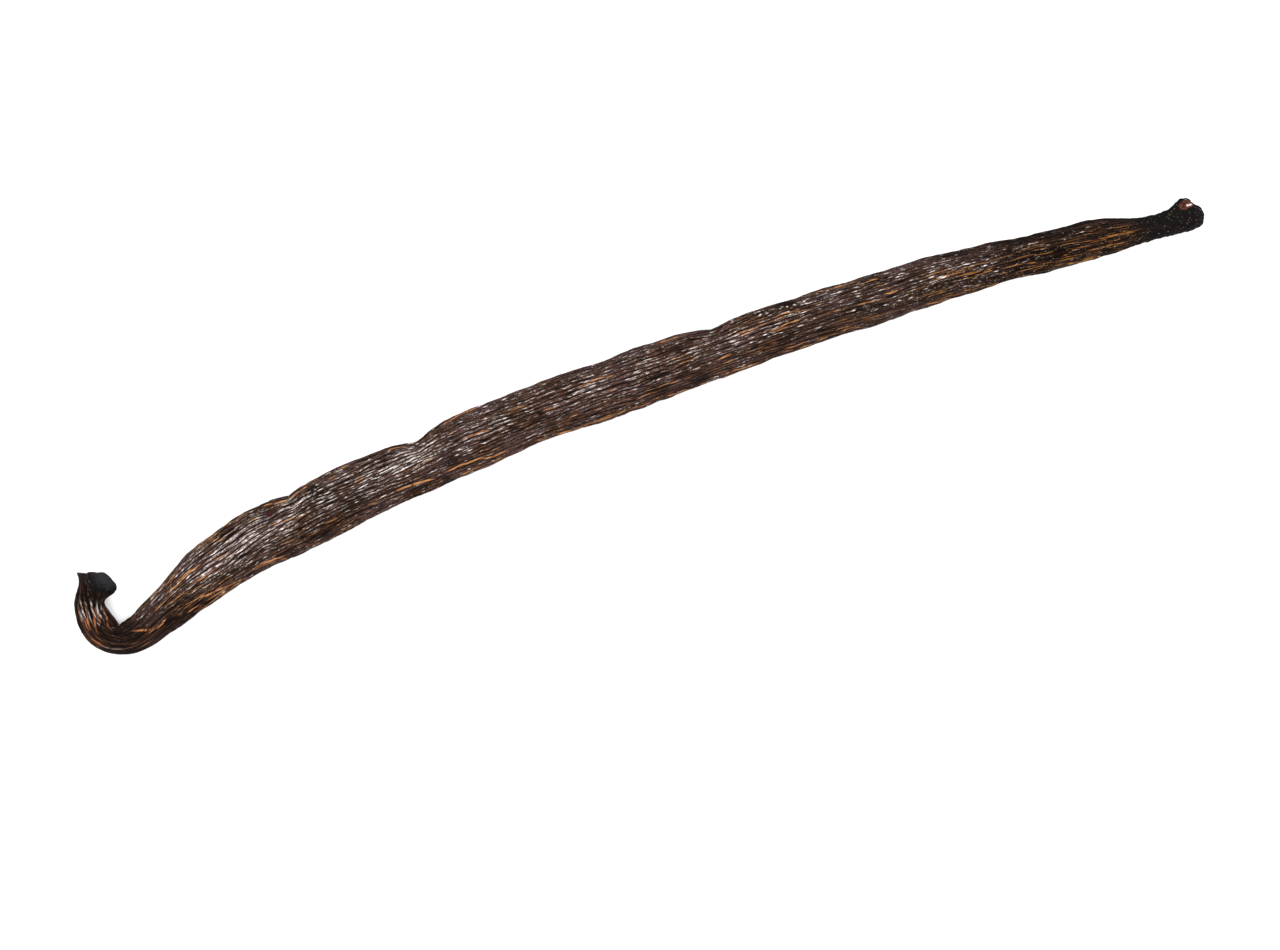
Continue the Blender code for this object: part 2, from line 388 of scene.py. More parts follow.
@dataclass(frozen=True)
class Grain:
    """A random pattern wrapped round the pod: long ridges side by side, or soft lumps."""

    seed: int
    ridges: float  # how many lie side by side round the pod; 0 makes lumps
    spread: float  # how much that number varies
    reach: float  # length over which a ridge keeps its course
    cells: int = 1024
    cell: float = 0.2
    fading: float = 0.25  # how soon the ridges fade where the pattern is weak

    def wave(self) -> Array:
        """Draw the pattern.

        Returns:
            A square of cells, each a complex number of size 1 or so whose angle runs once round
            for each ridge.
        """
        draw = np.random.default_rng(self.seed)
        noise = draw.standard_normal((2, self.cells, self.cells))
        along = np.fft.fftfreq(self.cells, self.cell)[:, None]
        around = np.fft.fftfreq(self.cells, 1 / self.cells)[None, :]
        kept = np.exp(-((along * self.reach) ** 2) * 2)
        kept = kept * np.exp(-(((around - self.ridges) / self.spread) ** 2) / 2)
        wave = np.fft.ifft2((noise[0] + 1j * noise[1]) * kept)
        return wave / np.abs(wave).mean()

    def at(self, place: Array, turn: Array) -> Array:
        """Read the wave.

        Args:
            place: Places along the pod.
            turn: Turns round it in radians.

        Returns:
            The wave between the four cells round each point.
        """
        wave = self.wave()
        row = (place / self.cell) % self.cells
        column = (turn / (2 * math.pi) * self.cells) % self.cells
        low_row, low_column = np.floor(row).astype(int), np.floor(column).astype(int)
        down, right = row - low_row, column - low_column
        low_row, low_column = low_row % self.cells, low_column % self.cells
        next_row, next_column = (low_row + 1) % self.cells, (low_column + 1) % self.cells
        near = wave[low_row, low_column] * (1 - right) + wave[low_row, next_column] * right
        far = wave[next_row, low_column] * (1 - right) + wave[next_row, next_column] * right
        return near * (1 - down) + far * down

    def crests(self, place: Array, turn: Array) -> Array:
        """Round-backed ridges with sharp valleys between them.

        Args:
            place: Places along the pod.
            turn: Turns round it in radians.

        Returns:
            How far up a ridge each point is, from 0 (valley) to 1 (crest), and less where the
            ridges fade out.
        """
        wave = self.at(place, turn)
        size = np.abs(wave)
        crest = np.sqrt(0.5 + 0.5 * wave.real / np.maximum(size, TINY))
        return crest * size / (size + self.fading) * (1 + self.fading)

    def lumps(self, place: Array, turn: Array) -> Array:
        """Soft lumps and hollows of about 1 either way."""
        return self.at(place, turn).real


@dataclass(frozen=True)
class Strand:
    """One fibre that lies bare on the skin."""

    bends: Stations  # each bend's place, and its angle in degrees
    width: float = 0.09
    shown: float = 1.0


@dataclass(frozen=True)
class FibreZone:
    """A stretch of the pod over which short orange fibres are scattered."""

    places: tuple[float, float]
    angles: tuple[float, float]
    count: int
    lengths: tuple[float, float]
    widths: tuple[float, float]
    strength: tuple[float, float] = (0.5, 1.0)


@dataclass
class Ground:
    """Where the skin's points lie, and the zones and ridges that cross them."""

    place: Array
    column: Array  # the turn of each column of the mesh, in radians
    angle: Array  # the same with its sway
    cap: Array  # 0 on the body, rising to 1 at the middle of an end face
    end: Array  # 1 on an end face, up to its rim
    hook: Array
    neck: Array
    scar: Array  # how near the middle of the tip's lobe
    lobe: Array  # 1 on the lobe, up to its rim
    wrinkle: Array
    pleat: Array
    crease: Array
    cord: Array
    fibre: Array


@dataclass
class Relief:
    """The skin's fine relief on top of the main form, and the marks that go with it."""

    wrinkles: Grain = Grain(seed=11, ridges=46, spread=13, reach=4.5)
    creases: Grain = Grain(seed=17, ridges=80, spread=18, reach=1.6)
    pleats: Grain = Grain(seed=23, ridges=17, spread=5, reach=9.0)
    cords: Grain = Grain(seed=31, ridges=17, spread=3, reach=12.0)
    knots: Grain = Grain(seed=47, ridges=0, spread=30, reach=0.7)
    lumps: Grain = Grain(seed=53, ridges=0, spread=4.5, reach=2.6)
    strength: Grain = Grain(seed=61, ridges=0, spread=3.0, reach=6.0)
    sway: Grain = Grain(seed=71, ridges=0, spread=1.6, reach=16.0)
    ripple: Grain = Grain(seed=73, ridges=0, spread=6.0, reach=2.4)
    wrinkle_depth: float = 0.18
    wrinkles_at_ends: float = 0.35  # share of their depth that is left on the hook and the neck
    strength_level: tuple[float, float] = (0.75, 0.3)  # how deep the wrinkles are, and its variation
    strength_range: tuple[float, float] = (0.3, 1.3)
    crease_depth: float = 0.09
    pleat_depth: float = 0.16
    cord_depth: float = 0.22
    rim_depth: float = 0.08  # of the groove round the tip's lobe
    knot_height: float = 0.022
    lump_height: float = 0.05
    outward: float = 0.13  # how far the crests stand out from the main form
    evening: float = 0.1  # how far the columns shift to lie evenly round the flat section
    sway_angle: float = 0.07
    ripple_angle: float = 0.012
    sway_stretch: tuple[float, float, float, float] = (14.0, 150.0, 10.0, 10.0)  # and its fades
    hook_end: tuple[float, float] = (15.0, 8.0)  # place where the hook's cords end, and their fade
    neck_start: tuple[float, float] = (145.5, 8.0)
    neck_calm: tuple[float, float] = (0.7, 0.6)  # share of the wrinkles and creases lost there
    end_edge: float = 4.0  # how sharply an end face begins
    lobe_edge: tuple[float, float] = (8.0, 2.6)  # how sharply the tip's lobe begins, and how far in
    lobe_calm: float = 0.85
    rim_calm: tuple[float, float, float] = (0.5, 0.85, 0.6)  # reach, and share at tip and knob
    grain_size: float = 0.5
    grain_height: float = 0.035
    grain_on_lobe: float = 0.3
    grain_seed: int = 97
    grain_waves: int = 48
    grain_spread: tuple[float, float] = (0.6, 1.4)  # pace of the coarsest and the finest waves
    grain_fade: Swelling = (0.75, 0.25, 1.0)  # how far in on an end face the grains fade out
    crest_shares: tuple[float, float, float] = (0.65, 0.2, 0.15)  # wrinkle, pleat and crease
    fibre_height: float = 0.03
    fibre_in_valleys: float = 0.5  # share of a fibre that shows between the wrinkles
    fibre_lift: float = 3.0  # how much more the fibres stand out on the hook
    fibre_seed: int = 5
    fibre_slant: float = 0.7  # degrees off its course for each millimetre of a short fibre
    fibre_waver: tuple[float, float] = (0.02, 2.3)  # angle, and how fast it comes and goes
    fibres: tuple[FibreZone, ...] = (
        FibreZone((18, 46), (122, 178), 26, (2.0, 8.0), (0.045, 0.075), (0.5, 0.9)),
        FibreZone((46, 108), (122, 178), 70, (2.0, 8.0), (0.045, 0.075), (0.5, 0.9)),
        FibreZone((15, 42), (2, 50), 36, (1.5, 6.0), (0.05, 0.09), (0.6, 1.0)),
        FibreZone((120, 144), (60, 165), 30, (3.0, 9.0), (0.035, 0.055), (0.5, 0.9)),
        FibreZone((4, 8), (20, 170), 12, (1.0, 3.0), (0.04, 0.07), (0.5, 0.8)),
        FibreZone((15, 24), (10, 165), 50, (1.5, 5.0), (0.04, 0.07), (0.5, 0.95)),
        FibreZone((9, 15), (100, 190), 16, (1.5, 4.0), (0.04, 0.06), (0.35, 0.65)),
        FibreZone((16, 48), (0, 360), 80, (1.2, 6.0), (0.04, 0.07), (0.3, 0.75)),
        FibreZone((48, 148), (0, 360), 270, (1.2, 6.0), (0.04, 0.07), (0.25, 0.65)),
        FibreZone((46, 90), (40, 140), 62, (2.0, 7.0), (0.035, 0.06), (0.4, 0.75)),
        FibreZone((90, 128), (30, 150), 75, (2.0, 7.0), (0.04, 0.065), (0.45, 0.85)),
    )
    strands: tuple[Strand, ...] = (
        Strand(((1.5, 128), (4, 124), (5.3, 124), (7.4, 128)), 0.08),
        Strand(((3.3, 95), (5.3, 103), (7.4, 120)), 0.08),
        Strand(((3.6, 83), (5.6, 82), (8.2, 106)), 0.09),
        Strand(((4.4, 69), (5.5, 68), (7.2, 73)), 0.08), Strand(((4.6, 22), (6, 32), (8.4, 64)), 0.08),
        Strand(((11.9, 64), (13.4, 92), (15.0, 120)), 0.13),
        Strand(((14.8, 119), (15.5, 122), (16.1, 118), (16.8, 111)), 0.11, 1.2),
        Strand(((16.8, 12), (19.6, 30), (21.8, 41)), 0.12),
        Strand(((17.6, 48), (19.6, 61), (21.8, 70)), 0.09, 0.8),
        Strand(((20.4, 52), (22.4, 57), (24.4, 63)), 0.2),
        Strand(((24.4, 64), (27.6, 74), (29.3, 77)), 0.07, 0.9),
        Strand(((18.6, 108), (23, 134), (28.8, 163)), 0.09, 1.6),
        Strand(((18.8, 139), (21.4, 150)), 0.1), Strand(((19.5, 160), (24, 164), (28.5, 162)), 0.12),
        Strand(((58, 161), (66, 164)), 0.12), Strand(((67, 165), (75, 162), (85, 165)), 0.13, 0.9),
        Strand(((101.5, 164), (108, 161), (116, 165)), 0.1, 0.8),
        Strand(((24.5, 20), (29, 16)), 0.1, 0.8), Strand(((39, 20), (43, 15), (48, 17)), 0.1),
        Strand(((57.5, 20), (62, 15), (66, 17)), 0.1, 0.8),
        Strand(((104, 20), (110, 15), (116, 18)), 0.12, 0.9),
        Strand(((84, 18), (90, 15), (95, 17)), 0.1, 0.7),
        Strand(((91, 164), (95.5, 160), (101, 163)), 0.11), Strand(((29.5, 140), (34, 152)), 0.08),
        Strand(((34.4, 17), (35.6, 22), (37.5, 29)), 0.09),
        Strand(((38, 31), (39.4, 27), (41.2, 27)), 0.09),
        Strand(((32.8, 65), (36.2, 80), (40, 94)), 0.08), Strand(((34.4, 119), (36.6, 127)), 0.15),
        Strand(((45.6, 75), (47.2, 68), (48.8, 74)), 0.08), Strand(((51, 17), (54.6, 20)), 0.08, 0.8),
        Strand(((50.3, 128), (53.4, 132), (56.4, 143)), 0.12, 1.1),
        Strand(((56.5, 136), (61, 139), (64.5, 150), (67, 152)), 0.14),
        Strand(((60.6, 89), (63.3, 85), (65.9, 80)), 0.07), Strand(((67, 61), (72.4, 68)), 0.07, 0.8),
        Strand(((70, 88), (74.6, 90)), 0.07, 0.8), Strand(((76.4, 67), (80.3, 60), (82.9, 64)), 0.12),
        Strand(((84.2, 123), (86.7, 127), (90, 129)), 0.1),
        Strand(((86, 160), (89.1, 164), (91.6, 170)), 0.09),
        Strand(((95.2, 109), (96.9, 107)), 0.15, 0.9),
        Strand(((97.6, 65), (99.4, 67), (101.6, 73)), 0.1),
        Strand(((101, 93), (103.7, 87), (107, 86)), 0.07),
        Strand(((102.2, 62), (105.5, 60), (107.9, 69), (108.5, 88)), 0.09),
        Strand(((108.2, 162), (111.3, 153), (114, 160)), 0.12),
        Strand(((115.4, 64), (117, 59), (118.6, 64)), 0.07, 0.9),
        Strand(((117, 79), (119.8, 85)), 0.07, 0.9), Strand(((126.6, 146), (132.4, 168)), 0.1),
        Strand(((132, 106), (137.9, 125)), 0.09),
        Strand(((140.2, 128), (143, 107), (145.4, 102)), 0.11),
        Strand(((140.4, 90), (141, 64), (142, 66)), 0.08, 0.9),
        Strand(((145.4, 96), (148.4, 90), (151, 97)), 0.14),
        Strand(((143.3, 124), (148.4, 126), (149.6, 128)), 0.09),
        Strand(((139.3, 154), (143, 166), (146.9, 156)), 0.1),
        Strand(((148.2, 84), (153.8, 98)), 0.07, 0.8),
    )
    # painted highlights: patches where the crests glint brighter, and the glint in the knob's crater
    highlight_patches: tuple[Patch, ...] = (
        (1.2, 125, 1.3, 0.45), (4.9, 105, 1.5, 1.0), (5.3, 50, 0.9, 0.8), (17.5, 60, 1.6, 0.4),
        (24.6, 55, 1.6, 0.55), (26.6, 68, 1.6, 0.4), (30.4, 78, 1.7, 0.5), (33.4, 65, 1.2, 0.5),
        (37.3, 76, 1.5, 0.4), (37.5, 32, 1.3, 0.6), (51.0, 79, 1.8, 0.1), (54.8, 78, 1.6, 0.4),
        (65.7, 92, 1.5, 0.4), (73.0, 60, 1.6, 0.5), (9.6, 142, 1.5, 0.45), (32.0, 120, 3.0, 0.4),
        (79.0, 65, 1.5, 0.6), (85.6, 74, 1.8, 0.7), (92.6, 66, 1.4, 0.5), (98.0, 94, 1.4, 0.5),
        (97.5, 32, 1.5, 0.5), (111.3, 37, 1.6, 0.5), (125.4, 78, 1.8, 0.2),
        (131.5, 102, 2.0, 1.0), (138.2, 62, 1.8, 0.4), (142.6, 66, 2.0, 1.0),
        (158.0, 53, 0.15, 0.8),
    )
    # darker patches of skin, partly painted shade, as next to the tip's lobe and along the lower flank
    dark_patches: tuple[Patch, ...] = (
        (3.9, 70, 1.5, 0.8), (11.8, 90, 3.4, 0.6), (16.0, 142, 1.5, 1.0), (18.6, 148, 1.9, 0.9),
        (22.0, 152, 1.8, 0.9), (28.8, 17, 1.2, 0.4), (29.5, 152, 1.6, 0.5),
        (34.3, 152, 1.8, 0.6), (34.0, 103, 1.2, 0.3), (105.0, 28, 2.0, 0.6),
        (109.5, 62, 1.5, 0.4), (121.5, 90, 2.0, 0.35), (40.6, 140, 1.8, 0.7),
        (41.0, 47, 1.0, 0.9), (41.8, 62, 1.6, 0.4), (45.6, 98, 1.6, 0.4), (50.0, 64, 1.6, 0.3),
        (59.0, 114, 1.5, 0.6), (86.7, 136, 1.5, 0.7), (92.0, 145, 1.5, 0.7),
        (109.6, 144, 1.5, 0.7), (114.5, 92, 1.6, 0.5), (127.2, 12, 1.6, 0.8),
    )
    hook_shade: Swelling = (15.0, -5.0, 1.0)  # how far on the hook a place counts for its colours
    hook_darkness: float = 0.45
    end_darkness: Swellings = ((4.5, -2.5, 0.6), (124.0, 14.0, 0.7))  # tip, and last stretch
    charring: Swelling = (3.6, -2.0, 0.45)  # of the skin next to the tip
    stained: tuple[float, float] = (1.0, 0.6)  # how red each of the two dimples is
    swells: tuple[Patch, ...] = (
        (0.6, 40.0, 1.0, 0.2), (1.0, 12.0, 0.7, 0.35), (0.3, 25.0, 0.7, 0.15),
        (2.9, 4.0, 0.6, 0.35), (4.1, 4.0, 0.6, -0.5), (5.4, 4.0, 1.0, 0.2),
        (1.9, 180.0, 0.9, 0.15), (0.5, 190.0, 0.8, -0.1), (-0.2, 300.0, 1.2, 0.2),
        (153.5, 0.0, 3.0, -0.18), (158.3, 160.0, 0.6, -0.25),
        *((158.6, side, 0.3, -0.6) for side in (335.0, 350.0, 5.0, 20.0, 35.0)),
    )
    tip_doming: float = 0.15
    hook_calm: Patch = (11.5, 120.0, 3.2, 1.0)  # the smooth outside of the hook
    hook_calming: tuple[float, float] = (0.6, 0.85)  # share of its cords and of its painted highlight flecks that is lost
    crater_patch: Patch = (157.7, 43.0, 0.76, 1.0)
    fleck_highlight_side: tuple[float, float] = (70.0, 60.0)  # the painted highlight flecks' thickest angle, on the side where the light falls, and reach
    fleck_highlight_levels: tuple[float, float, float] = (0.18, 0.63, 0.3)  # all round, there, underneath
    fleck_under: float = 4.0  # how sharply the underside begins
    fleck_losses: Swellings = ((52.0, 14.0, 0.3), (132.0, 14.0, 0.3))
    fleck_start: Swelling = (26.0, -9.0, 0.45)
    golden_side: tuple[float, float] = (125.0, 50.0)  # where the skin is most golden, and reach
    golden_start: Swelling = (90.0, 42.0, 1.0)
    golden_all_round: float = 0.35
    # rows of painted glints just below the upper edge
    bead_rows: Swellings = ((73.0, 6.5, 0.45), (104.0, 6.0, 1.0))  # middle, half length, strength
    bead_fade: float = 3.0
    bead_side: tuple[float, float] = (34.0, 8.0)  # their angle, and reach

    def turn(self, place: Array, column: Array) -> Array:
        """Lead a column of the mesh round the flat section, swaying as it goes.

        Args:
            place: Places along the spine.
            column: The column's turn at each of them, in radians.

        Returns:
            The angles that the column takes, in radians.
        """
        even = column + self.evening * np.sin(2 * column)
        sway = self.sway_angle * self.sway.lumps(place, column)
        ripple = self.ripple_angle * self.ripple.lumps(place, column)
        return even + between(place, *self.sway_stretch) * (sway + ripple)

    def grains(self, points: Array) -> Array:
        """Small rough grains, the same size in every direction.

        Args:
            points: Points in millimetres, with x, y and z on the last axis.

        Returns:
            How high each point is on a grain, about 1 either way.
        """
        draw = np.random.default_rng(self.grain_seed)
        way = draw.standard_normal((self.grain_waves, 3))
        way /= np.linalg.norm(way, axis=1, keepdims=True)
        rates = draw.uniform(*self.grain_spread, (self.grain_waves, 1))
        rate = 2 * math.pi / self.grain_size * rates
        start = draw.uniform(0, 2 * math.pi, self.grain_waves)
        total = np.zeros(points.shape[:-1])
        for k in range(self.grain_waves):
            total += np.cos(points @ (way[k] * rate[k]) + start[k])
        return total / math.sqrt(self.grain_waves / 2)

    def laid(self) -> list[Strand]:
        """Lay the fibres.

        Returns:
            Every strand: the long ones, then the scattered ones of each zone.
        """
        draw = np.random.default_rng(self.fibre_seed)
        strands = list(self.strands)
        for zone in self.fibres:
            for _ in range(zone.count):
                start, length = draw.uniform(*zone.places), draw.uniform(*zone.lengths)
                side = draw.uniform(*zone.angles)
                slant = draw.normal(0, self.fibre_slant) * length
                bends = ((start, side), (start + length, side + slant))
                width, shown = draw.uniform(*zone.widths), draw.uniform(*zone.strength)
                strands.append(Strand(bends, width, shown))
        return strands

    def fibre_marks(self, place: Array, column: Array, girth: Array) -> Array:
        """How strongly a fibre shows at each point.

        Args:
            place: The rings' places along the spine.
            column: The columns' turns round the pod, in radians.
            girth: Each ring's mean radius.

        Returns:
            A grid of rings by columns, from 0 (none) to 1.
        """
        marks = np.zeros((len(place), len(column)))
        waver, pace = self.fibre_waver
        for number, strand in enumerate(self.laid()):
            places, angles = zip(*strand.bends)
            rings = (place > places[0]) & (place < places[-1])
            run = (place[rings] - places[0]) / (places[-1] - places[0])
            middle = np.radians(np.interp(place[rings], places, angles))
            middle = middle + waver * np.sin(pace * place[rings] + number)
            off = np.angle(np.exp(1j * (column[None, :] - middle[:, None])))
            off = off * girth[rings, None] / strand.width
            taper = np.sqrt(np.sin(math.pi * run))[:, None]
            marks[rings] = np.maximum(marks[rings], strand.shown * taper * np.exp(-(off**2)))
        return marks

    def ground(
        self, form: PodForm, ring_place: Array, columns: Array, on_cap: Array, girth: Array
    ) -> Ground:
        """Work out the zones and the ridges of the skin.

        Args:
            form: The pod's main form.
            ring_place: The place that each ring counts as.
            columns: The columns' turns, in radians.
            on_cap: How far each ring is on an end face.
            girth: Each ring's mean radius.

        Returns:
            The zones and ridges on a grid of rings by columns.
        """
        place, column = np.meshgrid(ring_place, columns, indexing="ij")
        angle = self.turn(place, column)
        cap = np.broadcast_to(on_cap[:, None], place.shape)
        end = smooth(cap * self.end_edge)
        hook = smooth((self.hook_end[0] - place) / self.hook_end[1] + 0.5)
        neck = smooth((place - self.neck_start[0]) / self.neck_start[1])
        scar = form.hollow(place, angle, form.tip_patch)
        lobe = smooth(scar * self.lobe_edge[0] - self.lobe_edge[1])
        wrinkle, pleat, crease, cord = (
            ridges.crests(place, column)
            for ridges in (self.wrinkles, self.pleats, self.creases, self.cords)
        )
        fibre = self.fibre_marks(ring_place, columns, girth) * (1 - end)
        raised = np.maximum(wrinkle, hook)
        fibre = fibre * (self.fibre_in_valleys + (1 - self.fibre_in_valleys) * raised)
        return Ground(
            place, column, angle, cap, end, hook, neck, scar, lobe,
            wrinkle, pleat, crease, cord, fibre,
        )

    def height(self, form: PodForm, on: Ground, grain: Array) -> Array:
        """How far the fine relief stands out from the main form.

        Args:
            form: The pod's main form.
            on: The skin's zones and ridges.
            grain: How high each point is on a rough grain.

        Returns:
            The height of each point in millimetres.
        """
        place, column, neck = on.place, on.column, on.neck
        wrinkle_loss, crease_loss = self.neck_calm
        body = (1 - on.hook) * (1 - wrinkle_loss * neck)
        level, varied = self.strength_level
        strong = np.clip(level + varied * self.strength.lumps(place, column), *self.strength_range)
        calm = 1 - self.hook_calming[0] * form.hollow(place, on.angle, self.hook_calm)

        height = -self.wrinkle_depth * strong * (1 - on.wrinkle)
        height *= self.wrinkles_at_ends + (1 - self.wrinkles_at_ends) * body
        height *= 1 - wrinkle_loss * neck
        height -= self.crease_depth * (1 - on.crease) * (1 - crease_loss * neck)
        height -= self.pleat_depth * (1 - on.pleat) * body
        height -= self.cord_depth * (1 - on.cord) * on.hook * calm
        height += self.knot_height * self.knots.lumps(place, column)
        height += self.lump_height * self.lumps.lumps(place, column) * body
        height += self.fibre_height * on.fibre * (1 + self.fibre_lift * on.hook)
        height += self.outward
        height *= (1 - on.end) * (1 - self.lobe_calm * on.lobe)
        reach, at_tip, at_knob = self.rim_calm
        rims = ((form.tip_place, at_tip), (form.knob_place, at_knob))
        height *= 1 - sum(bump(place, at, reach, share) for at, share in rims)
        height -= self.rim_depth * 4 * on.lobe * (1 - on.lobe)
        height += sum(form.hollow(place, on.angle, swell) for swell in self.swells)
        height += self.tip_doming * on.cap * (place < form.spine.length / 2)
        rough = np.maximum(neck, self.grain_on_lobe * on.lobe)
        rough = rough * (1 - onset(on.cap, *self.grain_fade))
        return height + self.grain_height * grain * rough

    def tones(self, form: PodForm, on: Ground) -> Array:
        """How thick the painted highlight flecks and bead glints are, and how golden the skin is.

        Args:
            form: The pod's main form.
            on: The skin's zones and ridges.

        Returns:
            The three values of each point on the last axis, from 0 to 1.
        """
        place, column = on.place, on.column
        # painted highlight flecks: thickest on the upper side, where the light falls, and thinner
        # underneath
        all_round, there, below = self.fleck_highlight_levels
        under = smooth(-np.sin(column) * self.fleck_under)
        fleck_highlights = all_round + there * facing(column, self.fleck_highlight_side) * (1 - under) + below * under
        fleck_highlights *= 1 - sum(onset(place, *loss) for loss in self.fleck_losses)
        calm = np.clip(form.hollow(place, on.angle, self.hook_calm), 0, 1)
        fleck_highlights *= (1 - self.hook_calming[1] * calm) * (1 - onset(place, *self.fleck_start))
        bead_glints = facing(column, self.bead_side) * sum(
            shown * smooth((half - np.abs(place - at)) / self.bead_fade)
            for at, half, shown in self.bead_rows
        )
        gold = self.golden_all_round + (1 - self.golden_all_round) * facing(column, self.golden_side)
        golden = onset(place, *self.golden_start) * gold
        return np.stack((np.clip(fleck_highlights, 0, 1), bead_glints, golden), axis=-1)

    def shades(self, form: PodForm, on: Ground) -> Array:
        """How strong the painted highlights are and how dark the skin is, partly as painted shade,
        patch by patch, and how far on the hook it is.

        Args:
            form: The pod's main form.
            on: The skin's zones and ridges.

        Returns:
            The three values of each point on the last axis, from 0 to 1.
        """
        # painted highlight patches; the dark patches are partly darker skin and partly painted shade
        bright, dark = (
            sum(form.hollow(on.place, on.angle, patch) for patch in patches)
            for patches in (self.highlight_patches, self.dark_patches)
        )
        hooked = onset(on.place, *self.hook_shade)
        dark = dark + self.hook_darkness * hooked
        for darkness in self.end_darkness:
            dark = dark + onset(on.place, *darkness)
        return np.stack((np.clip(bright, 0, 1), np.clip(dark, 0, 1), hooked), axis=-1)

    def layers(self, form: PodForm, on: Ground, girth: Array) -> dict[Layer, Array]:
        """Gather what the skin carries for its finish to read.

        Args:
            form: The pod's main form.
            on: The skin's zones and ridges.
            girth: Each ring's mean radius.

        Returns:
            Each layer's three values at each point, on the last axis.
        """
        crest = on.wrinkle * (1 - on.hook) + on.cord * on.hook
        base, pleated, creased = self.crest_shares
        crest = np.clip(crest * (base + pleated * on.pleat + creased * on.crease), 0, 1)
        stain = sum(
            form.hollow(on.place, on.angle, (*pit[:3], shown))
            for pit, shown in zip(form.dimples, self.stained)
        )
        crater = form.hollow(on.place, on.angle, self.crater_patch)
        charred = np.maximum(on.neck, onset(on.place, *self.charring))
        charred = np.maximum(charred, on.end * (on.place > form.spine.length / 2))
        spread = girth[:, None] * (1 - on.cap)
        across = (spread * np.cos(on.column), spread * np.sin(on.column))
        return {
            Layer.UNROLLED: np.stack((on.place, *across), axis=-1),
            Layer.MARKS: np.stack((crest, on.fibre, np.clip(stain, 0, 1)), axis=-1),
            Layer.ZONES: np.stack((on.scar, charred, crater), axis=-1),
            Layer.TONES: self.tones(form, on),
            Layer.SHADES: self.shades(form, on),
        }


@dataclass
class PodSkin:
    """The pod's skin as one closed piece."""

    form: PodForm = field(default_factory=PodForm)
    relief: Relief = field(default_factory=Relief)
    around: int = 300
    rings: int = 331
    cap_rings: int = 13
    cap_base: int = 4  # how many rings back from its rim an end face takes its direction
    fine_spacing: float = 0.55  # share of the rings' usual spacing that the two ends have
    tip_fine: tuple[float, float] = (10.0, 14.0)  # place where the tip's close rings end, and fade
    knob_fine: tuple[float, float] = (6.0, 10.0)  # length of the knob's close rings, and fade
    samples: int = 4000  # for the rings' spacing
    crowding: float = 0.35  # how much closer together the columns are on the back than underneath
    seam_gap: float = 1e-7  # metres within which the sheet's edges join
    margin: float = 0.004  # of each strip in the flat layout
    strip_width: float = 0.492

    def ring_places(self) -> Array:
        """Space the body's rings, closer together at the two ends.

        Returns:
            Their places along the spine.
        """
        form = self.form
        fine = np.linspace(form.tip_place, form.knob_place, self.samples)
        (tip, tip_fade), (knob, knob_fade) = self.tip_fine, self.knob_fine
        middle = between(fine, tip, form.knob_place - knob, tip_fade, knob_fade)
        spacing = self.fine_spacing + (1 - self.fine_spacing) * middle
        count = np.cumsum(1.0 / spacing)
        body = self.rings - 2 * self.cap_rings
        return np.interp(np.linspace(count[0], count[-1], body), count, fine)

    def end_face(self, rim: Array, inner: Array, bulge: float, sizes: Array) -> Array:
        """Dome over one end of the body.

        Args:
            rim: The points of the body's last ring.
            inner: The points of a ring a little way back.
            bulge: How far the dome stands out.
            sizes: Each of its rings' size as a share of the rim's.

        Returns:
            The points of the dome's rings, from its middle outwards.
        """
        middle = rim.mean(axis=0)
        outward = middle - inner.mean(axis=0)
        outward /= np.linalg.norm(outward)
        dome = bulge * np.sqrt(1 - sizes**2)
        return middle + (rim - middle) * sizes[:, None, None] + outward * dome[:, None, None]

    def coarse_rings(self, places: Array, columns: Array) -> tuple[Array, Array, Array]:
        """Rings of the main form with both end faces.

        Args:
            places: Places of the body's rings.
            columns: Turns of the mesh's columns, in radians.

        Returns:
            The points of every ring from the tip's scar to the knob's end, the place that each
            ring counts as, and how far each is on an end face (0 on the body, 1 at its middle).
        """
        form = self.form
        grid_place, grid_column = np.meshgrid(places, columns, indexing="ij")
        body = form.skin(grid_place, self.relief.turn(grid_place, grid_column))
        sizes = np.sin(np.linspace(0, math.pi / 2, self.cap_rings + 1))[:-1]
        tip = self.end_face(body[0], body[self.cap_base], form.tip_bulge, sizes)
        knob = self.end_face(body[-1], body[-1 - self.cap_base], form.knob_bulge, sizes)
        points = np.concatenate((tip, body, knob[::-1]))
        radius = np.linalg.norm(body[0] - body[0].mean(axis=0), axis=-1).mean()
        low = form.tip_place - radius * (1 - sizes)
        high = form.knob_place + radius * (1 - sizes[::-1])
        ring_place = np.concatenate((low, places, high))
        on_cap = np.concatenate((1 - sizes, np.zeros(len(places)), 1 - sizes[::-1]))
        return points, ring_place, on_cap

    def normals(self, points: Array) -> Array:
        """Find which way a grid of rings faces.

        Args:
            points: The points of the rings.

        Returns:
            The outward direction at each point.
        """
        along = np.gradient(points, axis=0)
        around = np.roll(points, -1, axis=1) - np.roll(points, 1, axis=1)
        normal = np.cross(around, along)
        length = np.linalg.norm(normal, axis=-1, keepdims=True)
        return normal / np.maximum(length, TINY)

    def shaped(self) -> tuple[Array, dict[Layer, Array], Array]:
        """Work out the skin.

        Returns:
            The points of every ring in millimetres, the values of each layer at those points,
            and how far each ring lies along the skin.
        """
        relief, form = self.relief, self.form
        turns = np.arange(self.around) * 2 * math.pi / self.around - math.pi / 2
        columns = turns + self.crowding * np.cos(turns)
        points, ring_place, on_cap = self.coarse_rings(self.ring_places(), columns)
        off_middle = points - points.mean(axis=1, keepdims=True)
        girth = np.linalg.norm(off_middle, axis=-1).mean(axis=1)
        ground = relief.ground(form, ring_place, columns, on_cap, girth)
        height = relief.height(form, ground, relief.grains(points))
        points = points + self.normals(points) * height[..., None]
        points[..., 2] = np.maximum(points[..., 2], 0.0)
        steps = np.linalg.norm(np.diff(points, axis=0), axis=-1).mean(axis=1)
        travel = np.concatenate(((0.0,), np.cumsum(steps)))
        return points, relief.layers(form, ground, girth), travel

